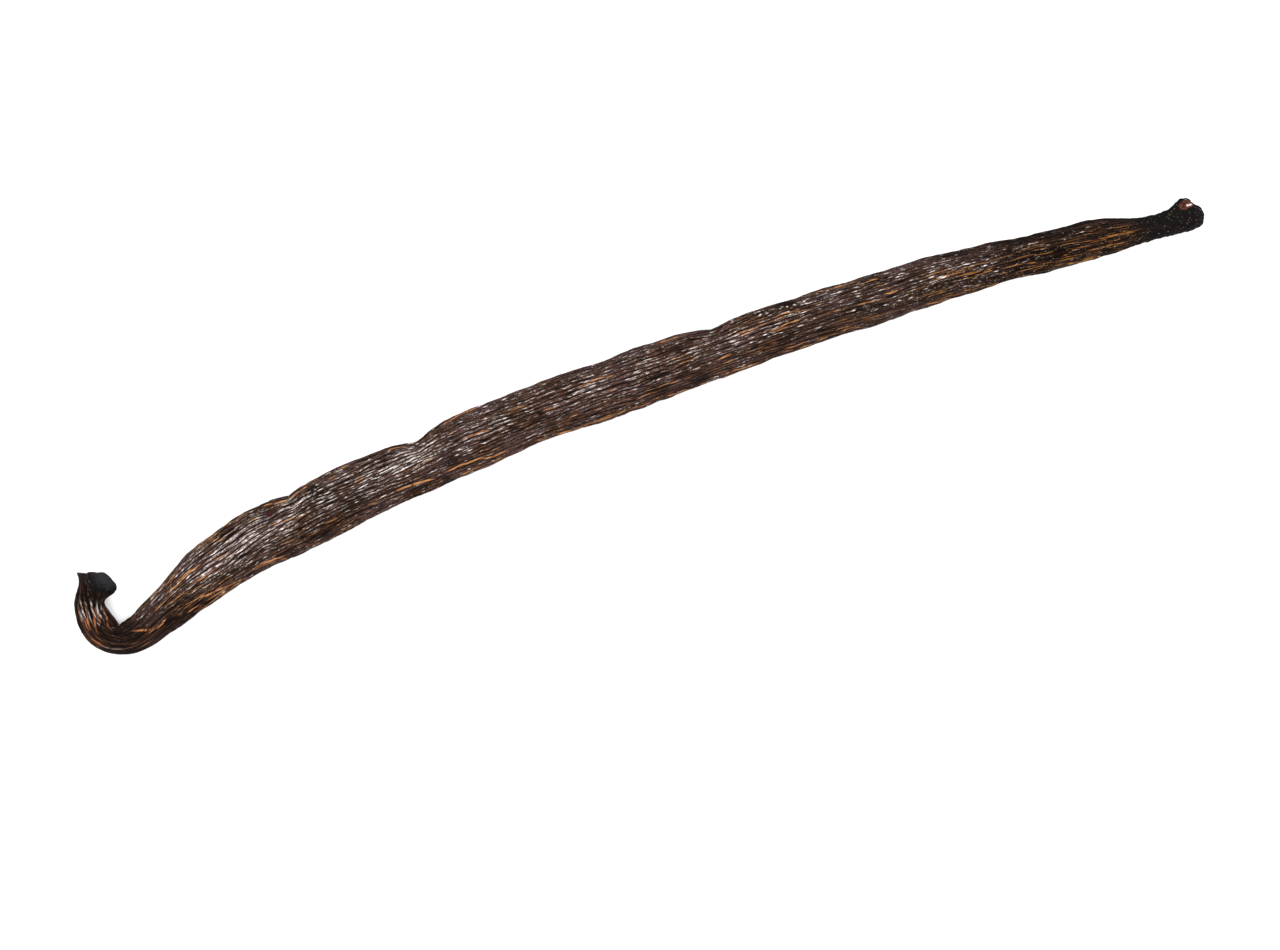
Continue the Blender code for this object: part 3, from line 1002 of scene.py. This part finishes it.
    def build(self, finish: bpy.types.Material) -> bpy.types.Object:
        """Make the skin.

        Args:
            finish: The material that the skin wears.

        Returns:
            The skin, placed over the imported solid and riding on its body.
        """
        points, layers, travel = self.shaped()
        sheet = bmesh.new()
        bmesh.ops.create_grid(sheet, x_segments=self.around, y_segments=self.rings - 1, size=0.5)
        mesh = bpy.data.meshes.new("pod_skin")
        sheet.to_mesh(mesh)
        sheet.free()
        flat = np.empty(len(mesh.vertices) * 3)
        mesh.vertices.foreach_get("co", flat)
        flat = flat.reshape(-1, 3) + 0.5
        ring = np.rint(flat[:, 1] * (self.rings - 1)).astype(int)
        column = np.rint(flat[:, 0] * self.around).astype(int)
        step = column % self.around
        mesh.vertices.foreach_set("co", self.placed(points[ring, step] * MM).ravel())
        for layer, values in layers.items():
            made = mesh.attributes.new(layer.value, "FLOAT_VECTOR", "POINT")
            made.data.foreach_set("vector", values[ring, step].ravel())
        self.unwrap(mesh, ring, column, travel)
        self.close(mesh)
        mesh.shade_smooth()
        mesh.materials.append(finish)
        skin = bpy.data.objects.new("pod_skin", mesh)
        bpy.context.scene.collection.objects.link(skin)
        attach(skin, "root")
        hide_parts("pod")
        return skin

    def placed(self, points: Array) -> Array:
        """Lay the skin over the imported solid.

        Args:
            points: The skin's points in metres.

        Returns:
            The points, centred over the solid's box and standing on its floor.
        """
        low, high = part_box("pod")
        middle = (np.array(low) + np.array(high)) / 2
        shift = middle - (points.min(axis=0) + points.max(axis=0)) / 2
        shift[2] = low.z - points[:, 2].min()
        return points + shift

    def unwrap(self, mesh: bpy.types.Mesh, ring: Array, column: Array, travel: Array) -> None:
        """Lay the skin out flat as two strips, one for each half of the pod.

        Args:
            mesh: The skin, still a sheet of four-sided faces.
            ring: Each vertex's ring.
            column: Each vertex's column.
            travel: How far each ring lies along the skin.
        """
        corners = np.empty(len(mesh.loops), dtype=int)
        mesh.loops.foreach_get("vertex_index", corners)
        corner_ring = ring[corners].reshape(-1, 4)
        far = (corner_ring.min(axis=1, keepdims=True) >= self.rings // 2).repeat(4, axis=1).ravel()
        middle = travel[self.rings // 2]
        start = np.where(far, middle, 0.0)
        stretch = np.where(far, travel[-1] - middle, middle)
        run = (travel[corner_ring.ravel()] - start) / stretch
        u = self.margin + (1 - 2 * self.margin) * run
        v = self.margin + self.strip_width * column[corners] / self.around + np.where(far, 0.5, 0.0)
        flat = mesh.uv_layers.new(name="OFBake")
        flat.data.foreach_set("uv", np.stack((u, v), axis=-1).ravel())

    def close(self, mesh: bpy.types.Mesh) -> None:
        """Join the rolled sheet along its seam and at its two ends, and turn its faces outwards.

        Args:
            mesh: The skin, still a rolled sheet.
        """
        form = bmesh.new()
        form.from_mesh(mesh)
        bmesh.ops.remove_doubles(form, verts=form.verts, dist=self.seam_gap)
        bmesh.ops.recalc_face_normals(form, faces=form.faces)
        form.to_mesh(mesh)
        form.free()


class Zone(Enum):
    """The values that a finish can follow: the layer that carries each, and its axis there."""

    CREST = (Layer.MARKS, 0)
    FIBRE = (Layer.MARKS, 1)
    STAIN = (Layer.MARKS, 2)
    SCAR = (Layer.ZONES, 0)
    NECK = (Layer.ZONES, 1)
    CRATER = (Layer.ZONES, 2)
    FLECKED = (Layer.TONES, 0)
    BEADED = (Layer.TONES, 1)
    GOLDEN = (Layer.TONES, 2)
    BRIGHT = (Layer.SHADES, 0)
    DARK = (Layer.SHADES, 1)
    HOOKED = (Layer.SHADES, 2)


class Pattern(Enum):
    """Noises on the skin laid flat: grains to a millimetre along and across, detail, roughness."""

    STREAKS = (0.5, 3.6, 4.0, 0.7)
    BLOTCHES = (0.14, 0.45, 2.0, 0.5)
    PATCHES = (0.35, 0.7, 3.0, 0.6)
    SPECKS = (1.6, 4.5, 2.0, 0.5)
    THREADS = (0.9, 7.0, 3.0, 0.6)
    FLECKS = (0.95, 8.0, 2.0, 0.7)
    CRUMBS = (3.4, 4.8, 3.0, 0.65)
    BEADS = (2.0, 2.2, 0.0, 0.5)
    LINES = (0.30, 5.5, 2.0, 0.5)
    GRAINS = (4.4, 5.2, 2.0, 0.5)
    GILT = (0.15, 6.5, 1.5, 0.6)


class Recipe:
    """A material's nodes, added and joined one by one."""

    def __init__(self, name: str) -> None:
        """Start a material that has only its shader."""
        self.material = bpy.data.materials.new(name)
        self.material.use_nodes = True
        self.nodes = self.material.node_tree.nodes
        self.links = self.material.node_tree.links
        self.shader = self.nodes["Principled BSDF"]

    def feed(self, socket: Socket, value: object) -> None:
        """Join a socket to another node's, or set it to a constant."""
        if isinstance(value, Socket):
            self.links.new(value, socket)
        else:
            socket.default_value = value

    def add(self, kind: str, sockets: dict[str | int, object], **settings: object) -> bpy.types.Node:
        """Add a node.

        Args:
            kind: The node's type.
            sockets: What its inputs are joined to or set to.
            **settings: Its other settings.

        Returns:
            The node.
        """
        node = self.nodes.new(kind)
        for name, value in settings.items():
            setattr(node, name, value)
        for name, value in sockets.items():
            self.feed(node.inputs[name], value)
        return node

    def math(self, operation: str, first: object, second: object = 0.0) -> Socket:
        """One sum of two values."""
        return self.add("ShaderNodeMath", {0: first, 1: second}, operation=operation).outputs[0]

    def times(self, *values: object) -> Socket:
        """The product of some values."""
        return reduce(lambda first, second: self.math("MULTIPLY", first, second), values)

    def plus(self, *values: object) -> Socket:
        """The sum of some values."""
        return reduce(lambda first, second: self.math("ADD", first, second), values)

    def ramp(
        self, value: object, start: float, full: float, low: float = 0.0, high: float = 1.0
    ) -> Socket:
        """Lead a value smoothly from one range to another.

        Args:
            value: The value.
            start: The level up to which the outcome is low.
            full: The level from which it is high.
            low: The outcome at the start.
            high: The outcome at the full level.

        Returns:
            The outcome.
        """
        sockets = {"Value": value, "From Min": start, "From Max": full, "To Min": low, "To Max": high}
        node = self.add("ShaderNodeMapRange", sockets, interpolation_type="SMOOTHSTEP")
        return node.outputs["Result"]

    def mix(self, first: object, second: object, share: object) -> Socket:
        """Mix two colours, each of them another node's or a constant."""
        first, second = ((*c, 1.0) if isinstance(c, tuple) else c for c in (first, second))
        return self.add("ShaderNodeMix", {0: share, 6: first, 7: second}, data_type="RGBA").outputs[2]

    def blend(self, first: object, second: object, share: object) -> Socket:
        """Mix two numbers."""
        return self.add("ShaderNodeMix", {0: share, 2: first, 3: second}).outputs[0]

    def coated(self, colour: object, *coats: Coat) -> Socket:
        """Lay coats over a colour, one after the other."""
        return reduce(lambda under, coat: self.mix(under, *coat), coats, colour)


class SkinRecipe(Recipe):
    """A recipe that draws on what the skin carries, and on patterns that follow the skin."""

    def __init__(self, name: str) -> None:
        """Read the skin's layers and lay the patterns over it.

        Args:
            name: The material's name.
        """
        super().__init__(name)
        vectors = {
            layer: self.add("ShaderNodeAttribute", {}, attribute_name=layer.value).outputs["Vector"]
            for layer in Layer
        }
        place = vectors.pop(Layer.UNROLLED)
        parted = {
            layer: self.add("ShaderNodeSeparateXYZ", {0: vector}).outputs
            for layer, vector in vectors.items()
        }
        self.known = {zone: parted[zone.value[0]][zone.value[1]] for zone in Zone}
        for pattern in Pattern:
            along, across, detail, rough = pattern.value
            sockets = {0: place, 1: (along, across, across)}
            point = self.add("ShaderNodeVectorMath", sockets, operation="MULTIPLY").outputs[0]
            sockets = {"Vector": point, "Scale": 1.0, "Detail": detail, "Roughness": rough}
            self.known[pattern] = self.add("ShaderNodeTexNoise", sockets).outputs["Fac"]

    def of(self, source: Zone | Pattern) -> Socket:
        """The value of a zone or a pattern."""
        return self.known[source]

    def centred(self, pattern: Pattern, strength: float) -> Socket:
        """A pattern that varies about 0."""
        return self.times(self.math("SUBTRACT", self.of(pattern), 0.5), strength)

    def share(self, *follows: Follow) -> Socket:
        """A share that follows zones and patterns, as the product of what each gives."""
        return self.times(*(self.ramp(self.of(source), *span) for source, *span in follows))

    def weighed(self, *weights: Follow) -> Socket:
        """The sum of zones and patterns, each times its weight."""
        return self.plus(*(self.times(self.of(source), weight) for source, weight in weights))


@dataclass(frozen=True)
class CuredSkin:
    """The oily dark skin: brown and plum with orange fibres, painted shade black in the wrinkles, and
    painted highlights on the crests.

    A share or an edge gives the levels between which it changes, then what it changes from and
    to, where that is not 0 and 1. A share has such a row for each zone or pattern that it follows.
    """

    dark: Colour = (0.010, 0.005, 0.003)
    umber: Colour = (0.030, 0.014, 0.008)
    # painted highlight: small pale glints specked on the neck and knob and in the golden stretch
    speck_glint: Colour = (0.34, 0.27, 0.22)
    brown: Colour = (0.066, 0.031, 0.018)
    plum: Colour = (0.054, 0.030, 0.028)
    gold: Colour = (0.011, 0.0055, 0.003)
    # painted shade: near black in the wrinkles' valleys, along fine creases and in the dark patches
    valley: Colour = (0.004, 0.002, 0.0015)
    # painted highlights: the flecks' pale tint, then the brightest glints
    pale: Colour = (0.180, 0.140, 0.121)
    bright: Colour = (0.62, 0.555, 0.53)
    fibre: Colour = (0.33, 0.152, 0.058)
    golden_fibre: Colour = (0.255, 0.108, 0.024)
    red_fibre: Colour = (0.27, 0.092, 0.030)
    amber: Colour = (0.13, 0.043, 0.014)
    stain: Colour = (0.032, 0.0035, 0.0025)
    # the tip lobe's lighter middle; with charcoal at its rim it is a painted sheen and shade for the
    # lobe's doming
    scar: Colour = (0.0155, 0.016, 0.0185)
    charcoal: Colour = (0.0035, 0.003, 0.003)
    crater: Colour = (0.085, 0.026, 0.016)

    brown_share: Share = ((Pattern.STREAKS, 0.42, 0.56),)
    plum_share: Share = ((Pattern.BLOTCHES, 0.42, 0.6, 0.0, 0.8), (Zone.GOLDEN, 0.2, 1.0, 1.0, 0.3))
    amber_share: Share = ((Pattern.SPECKS, 0.60, 0.70), (Pattern.STREAKS, 0.45, 0.6, 0.1, 0.6))
    crumb_share: Share = ((Pattern.CRUMBS, 0.50, 0.58, 0.0, 0.85),)
    umber_share: Share = ((Pattern.LINES, 0.50, 0.62),)
    # the dark patches: darker skin, and in part painted shade
    darkening_variation: float = 2.2
    darkening_edge: Edge = (0.0, 0.7, 0.0, 0.95)
    # painted highlights on the crests: pale dashes, specks between them, and the brightest glints
    fleck_highlight_levels: Share = (
        (Pattern.PATCHES, 0.20), (Zone.FLECKED, 0.16), (Zone.BRIGHT, 0.06), (Zone.DARK, -0.08),
    )
    dash_edge: Edge = (0.745, 0.795)
    speck_highlight_edge: Edge = (0.78, 0.83)
    highlight_edge: Edge = (0.79, 0.89)
    fleck_highlight_share: Share = ((Zone.CREST, 0.3, 0.7),)
    # painted shade in the wrinkles' valleys, and along fine creases
    valley_shade_share: Share = ((Zone.CREST, 0.14, 0.42, 1.0, 0.0),)
    crease_shade_edge: Edge = (0.0, 0.035, 0.85, 0.0)
    # painted glints on the crests of the hook's cords
    hook_glint_share: Share = (
        (Zone.CREST, 0.70, 0.95, 0.0, 0.68), (Zone.BRIGHT, 0.15, 0.7), (Pattern.THREADS, 0.44, 0.58),
    )
    # painted glints in the bead rows
    bead_glint_share: Share = ((Pattern.BEADS, 0.60, 0.68), (Zone.BEADED, 0.3, 0.7))
    gilt_on_hook: float = 0.47
    gilt_edge: Edge = (0.3, 0.9, 0.0, 0.85)
    gilt_share: Share = ((Pattern.GILT, 0.60, 0.70), (Zone.DARK, 0.6, 1.0, 1.0, 0.2))
    fibre_share: Share = (
        (Zone.FIBRE, 0.3, 0.65), (Pattern.THREADS, 0.32, 0.46, 0.3, 1.0),
        (Zone.DARK, 0.5, 1.0, 1.0, 0.4),
    )
    fibre_tint: Share = ((Pattern.THREADS, 0.38, 0.56),)
    raggedness: float = 0.9  # how far the edges of the stains and of the scar's painted shading stray
    stain_rim: Edge = (0.15, 0.5, 0.0, 0.85)
    stain_middle: Edge = (0.66, 0.95)
    neck_share: Share = ((Zone.NECK, 0.35, 1.0, 0.0, 0.95),)
    # painted glints: small pale specks on the charred neck and knob and in the golden stretch
    speck_glint_share: Share = ((Pattern.GRAINS, 0.64, 0.71),)
    speck_glints_on_neck: Share = ((Zone.NECK, 0.4, 0.9, 0.0, 0.35),)
    speck_glints_in_gold: Share = ((Zone.GOLDEN, 0.25, 0.8, 0.0, 0.45),)
    scar_share: Share = ((Zone.SCAR, 0.32, 0.44),)
    # the lobe's painted sheen in its middle and painted shade at its rim
    scar_shading: Edge = (0.45, 0.95)
    crater_raggedness: float = 0.63
    crater_edge: Edge = (0.3, 0.6)
    rust_share: Share = ((Pattern.GRAINS, 0.40, 0.52),)
    glint_share: Share = (
        (Zone.BRIGHT, 0.25, 0.5), (Zone.NECK, 0.9, 1.0), (Pattern.CRUMBS, 0.38, 0.50),
    )
    roughness: Share = ((Pattern.STREAKS, 0.35, 0.65, 0.30, 0.14),)
    rough_valleys: Share = ((Zone.CREST, 0.1, 0.7, 1.0, 0.0),)
    rough_neck: Share = ((Zone.NECK, 0.3, 1.0),)
    rough_crater: Share = ((Zone.CRATER, 0.35, 0.8),)
    valley_roughness: float = 0.65
    fibre_roughness: float = 0.55
    neck_roughness: float = 0.62
    scar_roughness: float = 0.75
    crater_roughness: float = 0.3
    shine: float = 0.03
    gloss: Share = ((Zone.NECK, 0.3, 0.9, 0.7, 0.0),)
    coat_roughness: float = 0.15
    bump_heights: Share = ((Pattern.FLECKS, 0.09), (Pattern.CRUMBS, 0.06))  # in millimetres

    def ground(self, made: SkinRecipe) -> Socket:
        """Mix the skin's own colour.

        Args:
            made: The material's recipe.

        Returns:
            Brown and plum streaks with amber specks, dark crumbs, and a darkening over the dark
            patches, which is partly darker skin and partly painted shade.
        """
        base = made.mix(self.brown, self.gold, made.of(Zone.GOLDEN))
        # the darkening over the dark patches: partly darker skin, partly painted shade
        darkening = made.mix(self.valley, self.umber, made.share(*self.umber_share))
        patches = made.plus(made.centred(Pattern.PATCHES, self.darkening_variation), 1.0)
        return made.coated(
            self.dark,
            (base, made.share(*self.brown_share)),
            (self.plum, made.share(*self.plum_share)),
            (self.amber, made.share(*self.amber_share)),
            (self.dark, made.share(*self.crumb_share)),
            (darkening, made.ramp(made.times(patches, made.of(Zone.DARK)), *self.darkening_edge)),
        )

    def flecks(self, made: SkinRecipe) -> Coat:
        """Lay painted highlights on the crests: pale flecks in fine dashes, and specks between them.

        Args:
            made: The material's recipe.

        Returns:
            The painted highlights' colour, and how much of it shows.
        """
        # painted highlights: pale dashes and specks on the crests, thicker where the light falls
        level = made.weighed(*self.fleck_highlight_levels)
        dashes = made.plus(made.of(Pattern.FLECKS), level)
        speck_highlights = made.plus(made.of(Pattern.CRUMBS), level)
        highlight_tint = made.mix(self.pale, self.bright, made.ramp(dashes, *self.highlight_edge))
        either = made.math(
            "MAXIMUM", made.ramp(dashes, *self.dash_edge), made.ramp(speck_highlights, *self.speck_highlight_edge)
        )
        return highlight_tint, made.times(either, made.share(*self.fleck_highlight_share))

    def threads(self, made: SkinRecipe) -> tuple[Coat, Coat]:
        """Lay golden lines and bare fibres, which are redder on the hook.

        Args:
            made: The material's recipe.

        Returns:
            The lines' colour and the fibres', each with how much of it shows.
        """
        golden, hooked = made.of(Zone.GOLDEN), made.of(Zone.HOOKED)
        gilded = made.math("MAXIMUM", golden, made.times(hooked, self.gilt_on_hook))
        gilt = made.mix(self.golden_fibre, self.amber, hooked)
        gilt_share = made.times(made.share(*self.gilt_share), made.ramp(gilded, *self.gilt_edge))
        fibre = made.coated(self.fibre, (self.golden_fibre, golden), (self.red_fibre, hooked))
        fibre = made.mix(self.amber, fibre, made.share(*self.fibre_tint))
        return (gilt, gilt_share), (fibre, made.share(*self.fibre_share))

    def ends(self, made: SkinRecipe) -> tuple[Coat, ...]:
        """Stain the dimples, and finish the neck, the tip's scar and the knob.

        Args:
            made: The material's recipe.

        Returns:
            The stains, the charred neck with its painted speck glints, the scar with its painted sheen
            and shade, the crater and the painted glint in it.
        """
        ragged = made.centred(Pattern.CRUMBS, self.raggedness)
        stained = made.plus(made.of(Zone.STAIN), ragged)
        # painted sheen in the middle of the tip's lobe, charcoal painted shade at its rim
        lobe_shading = made.ramp(made.plus(made.of(Zone.SCAR), ragged), *self.scar_shading)
        pitted = made.plus(
            made.of(Zone.CRATER), made.centred(Pattern.CRUMBS, self.crater_raggedness)
        )
        # painted glints: small pale specks on the charred neck and knob and in the golden stretch
        speck_glint_zone = made.math(
            "MAXIMUM", made.share(*self.speck_glints_on_neck), made.share(*self.speck_glints_in_gold)
        )
        return (
            (self.dark, made.ramp(stained, *self.stain_rim)),
            (self.stain, made.ramp(stained, *self.stain_middle)),
            (self.charcoal, made.share(*self.neck_share)),
            (self.speck_glint, made.times(made.share(*self.speck_glint_share), speck_glint_zone)),
            (made.mix(self.charcoal, self.scar, lobe_shading), made.share(*self.scar_share)),
            (
                made.mix(self.charcoal, self.crater, made.share(*self.rust_share)),
                made.ramp(pitted, *self.crater_edge),
            ),
            (self.bright, made.share(*self.glint_share)),
        )

    def material(self) -> bpy.types.Material:
        """Make the material.

        Returns:
            The material, named cured_skin.
        """
        made = SkinRecipe("cured_skin")
        highlight_tint, fleck_highlights = self.flecks(made)
        # painted glints in the bead rows and on the hook's crests
        bead_glints = made.share(*self.bead_glint_share)
        hook_glints = made.times(made.share(*self.hook_glint_share), made.of(Zone.HOOKED))
        off_line = made.math("ABSOLUTE", made.math("SUBTRACT", made.of(Pattern.LINES), 0.5))
        colour = made.coated(
            self.ground(made),
            # painted highlight flecks, painted shade in the valleys and along fine creases, then
            # painted glints on the hook's crests and in the bead rows
            (highlight_tint, fleck_highlights),
            (self.valley, made.share(*self.valley_shade_share)),
            (self.valley, made.ramp(off_line, *self.crease_shade_edge)),
            (self.bright, hook_glints),
            (self.bright, bead_glints),
            *self.threads(made),
            *self.ends(made),
        )
        rough = made.share(*self.roughness)
        for roughness, share in (
            (self.valley_roughness, self.rough_valleys),
            (self.fibre_roughness, self.fibre_share),
            (self.neck_roughness, self.rough_neck),
            (self.scar_roughness, self.scar_share),
            (self.crater_roughness, self.rough_crater),
        ):
            rough = made.blend(rough, roughness, made.share(*share))
        oiled = made.times(made.math("MAXIMUM", fleck_highlights, bead_glints), made.share(*self.gloss))
        bumps = {"Height": made.weighed(*self.bump_heights), "Distance": MM, "Strength": 1.0}
        for name, value in (
            ("Base Color", colour),
            ("Roughness", rough),
            ("Specular IOR Level", self.shine),
            ("Coat Weight", oiled),
            ("Coat Roughness", self.coat_roughness),
            ("Normal", made.add("ShaderNodeBump", bumps).outputs["Normal"]),
        ):
            made.feed(made.shader.inputs[name], value)
        return made.material


@dataclass(frozen=True)
class TablePaint:
    """The plain white table."""

    colour: Colour = (0.90, 0.90, 0.90)
    roughness: float = 0.85

    def material(self) -> bpy.types.Material:
        """Make the material.

        Returns:
            The material, named table_white.
        """
        made = Recipe("table_white")
        made.feed(made.shader.inputs["Base Color"], (*self.colour, 1.0))
        made.feed(made.shader.inputs["Roughness"], self.roughness)
        return made.material


@dataclass
class Studio:
    """The table, the lights and the camera."""

    table_side: float = 6.0
    view_turn: float = -21.5  # degrees from the row's X to the picture's right
    view_centre: tuple[float, float] = (-2.73, -9.08)
    view_width: float = 162.56
    view_height: float = 2.4
    lens: float = 100.0
    sensor: float = 36.0
    wall_top: tuple[float, float] = (0.1, 0.6)  # where the walls' light turns into the ceiling's
    wall_light: float = 0.25
    ceiling_light: float = 0.02
    lamps: tuple[tuple[str, tuple[float, float, float], tuple[float, float], float], ...] = (
        ("top", (0.0, 0.0, 0.85), (0.50, 0.50), 5.0),
        ("window", (-0.06, 0.38, 0.66), (0.60, 0.40), 4.0),
        ("near", (0.10, -0.52, 0.58), (0.60, 0.40), 4.6),
        ("left", (-0.70, 0.15, 0.50), (0.40, 0.60), 4.6),
        ("right", (0.70, 0.10, 0.50), (0.40, 0.60), 4.6),
    )

    def camera(self) -> bpy.types.Object:
        """Hang the camera straight over the pod.

        Returns:
            The camera.
        """
        data = bpy.data.cameras.new("camera")
        data.lens, data.sensor_width = self.lens, self.sensor
        camera = bpy.data.objects.new("camera", data)
        distance = self.view_width * self.lens / self.sensor
        x, y = self.view_centre
        camera.location = (x * MM, y * MM, (self.view_height + distance) * MM)
        camera.rotation_euler = (0.0, 0.0, math.radians(self.view_turn))
        bpy.context.scene.collection.objects.link(camera)
        bpy.context.scene.camera = camera
        return camera

    def table(self) -> bpy.types.Object:
        """Lay the table just under the pod.

        Returns:
            The table.
        """
        form = bmesh.new()
        bmesh.ops.create_grid(form, x_segments=1, y_segments=1, size=self.table_side / 2)
        mesh = bpy.data.meshes.new("table")
        form.to_mesh(mesh)
        form.free()
        mesh.materials.append(TablePaint().material())
        table = bpy.data.objects.new("table", mesh)
        bpy.context.scene.collection.objects.link(table)
        return table

    def light(self) -> None:
        """Hang the soft lamps, given in the picture's axes, and light the room."""
        turn = math.radians(self.view_turn)
        for name, (x, y, z), (wide, tall), power in self.lamps:
            data = bpy.data.lights.new(name, "AREA")
            data.shape = "RECTANGLE"
            data.size, data.size_y = wide, tall
            data.energy = power
            lamp = bpy.data.objects.new(name, data)
            lamp.location = (
                x * math.cos(turn) - y * math.sin(turn),
                x * math.sin(turn) + y * math.cos(turn),
                z,
            )
            lamp.rotation_mode = "QUATERNION"
            lamp.rotation_quaternion = lamp.location.to_track_quat("Z", "Y")
            bpy.context.scene.collection.objects.link(lamp)
        world = bpy.data.worlds.new("room")
        world.use_nodes = True
        nodes, links = world.node_tree.nodes, world.node_tree.links
        way = nodes.new("ShaderNodeSeparateXYZ")
        links.new(nodes.new("ShaderNodeTexCoord").outputs["Generated"], way.inputs[0])
        up = nodes.new("ShaderNodeMapRange")
        up.inputs["From Min"].default_value = self.wall_top[0]
        up.inputs["From Max"].default_value = self.wall_top[1]
        up.inputs["To Min"].default_value = self.wall_light
        up.inputs["To Max"].default_value = self.ceiling_light
        links.new(way.outputs["Z"], up.inputs["Value"])
        links.new(up.outputs["Result"], nodes["Background"].inputs["Strength"])
        nodes["Background"].inputs["Color"].default_value = (1.0, 1.0, 1.0, 1.0)
        bpy.context.scene.world = world
        bpy.context.scene.view_settings.view_transform = "Standard"


def main() -> None:
    """Build the scene: camera, table and lights, then the pod's skin."""
    logging.basicConfig(level=logging.INFO, format="%(message)s")
    studio = Studio()
    studio.camera()
    studio.table()
    studio.light()
    skin = PodSkin().build(CuredSkin().material())
    REPORT.info("%s: %d faces", skin.name, len(skin.data.polygons))


if __name__ == "__main__":
    main()
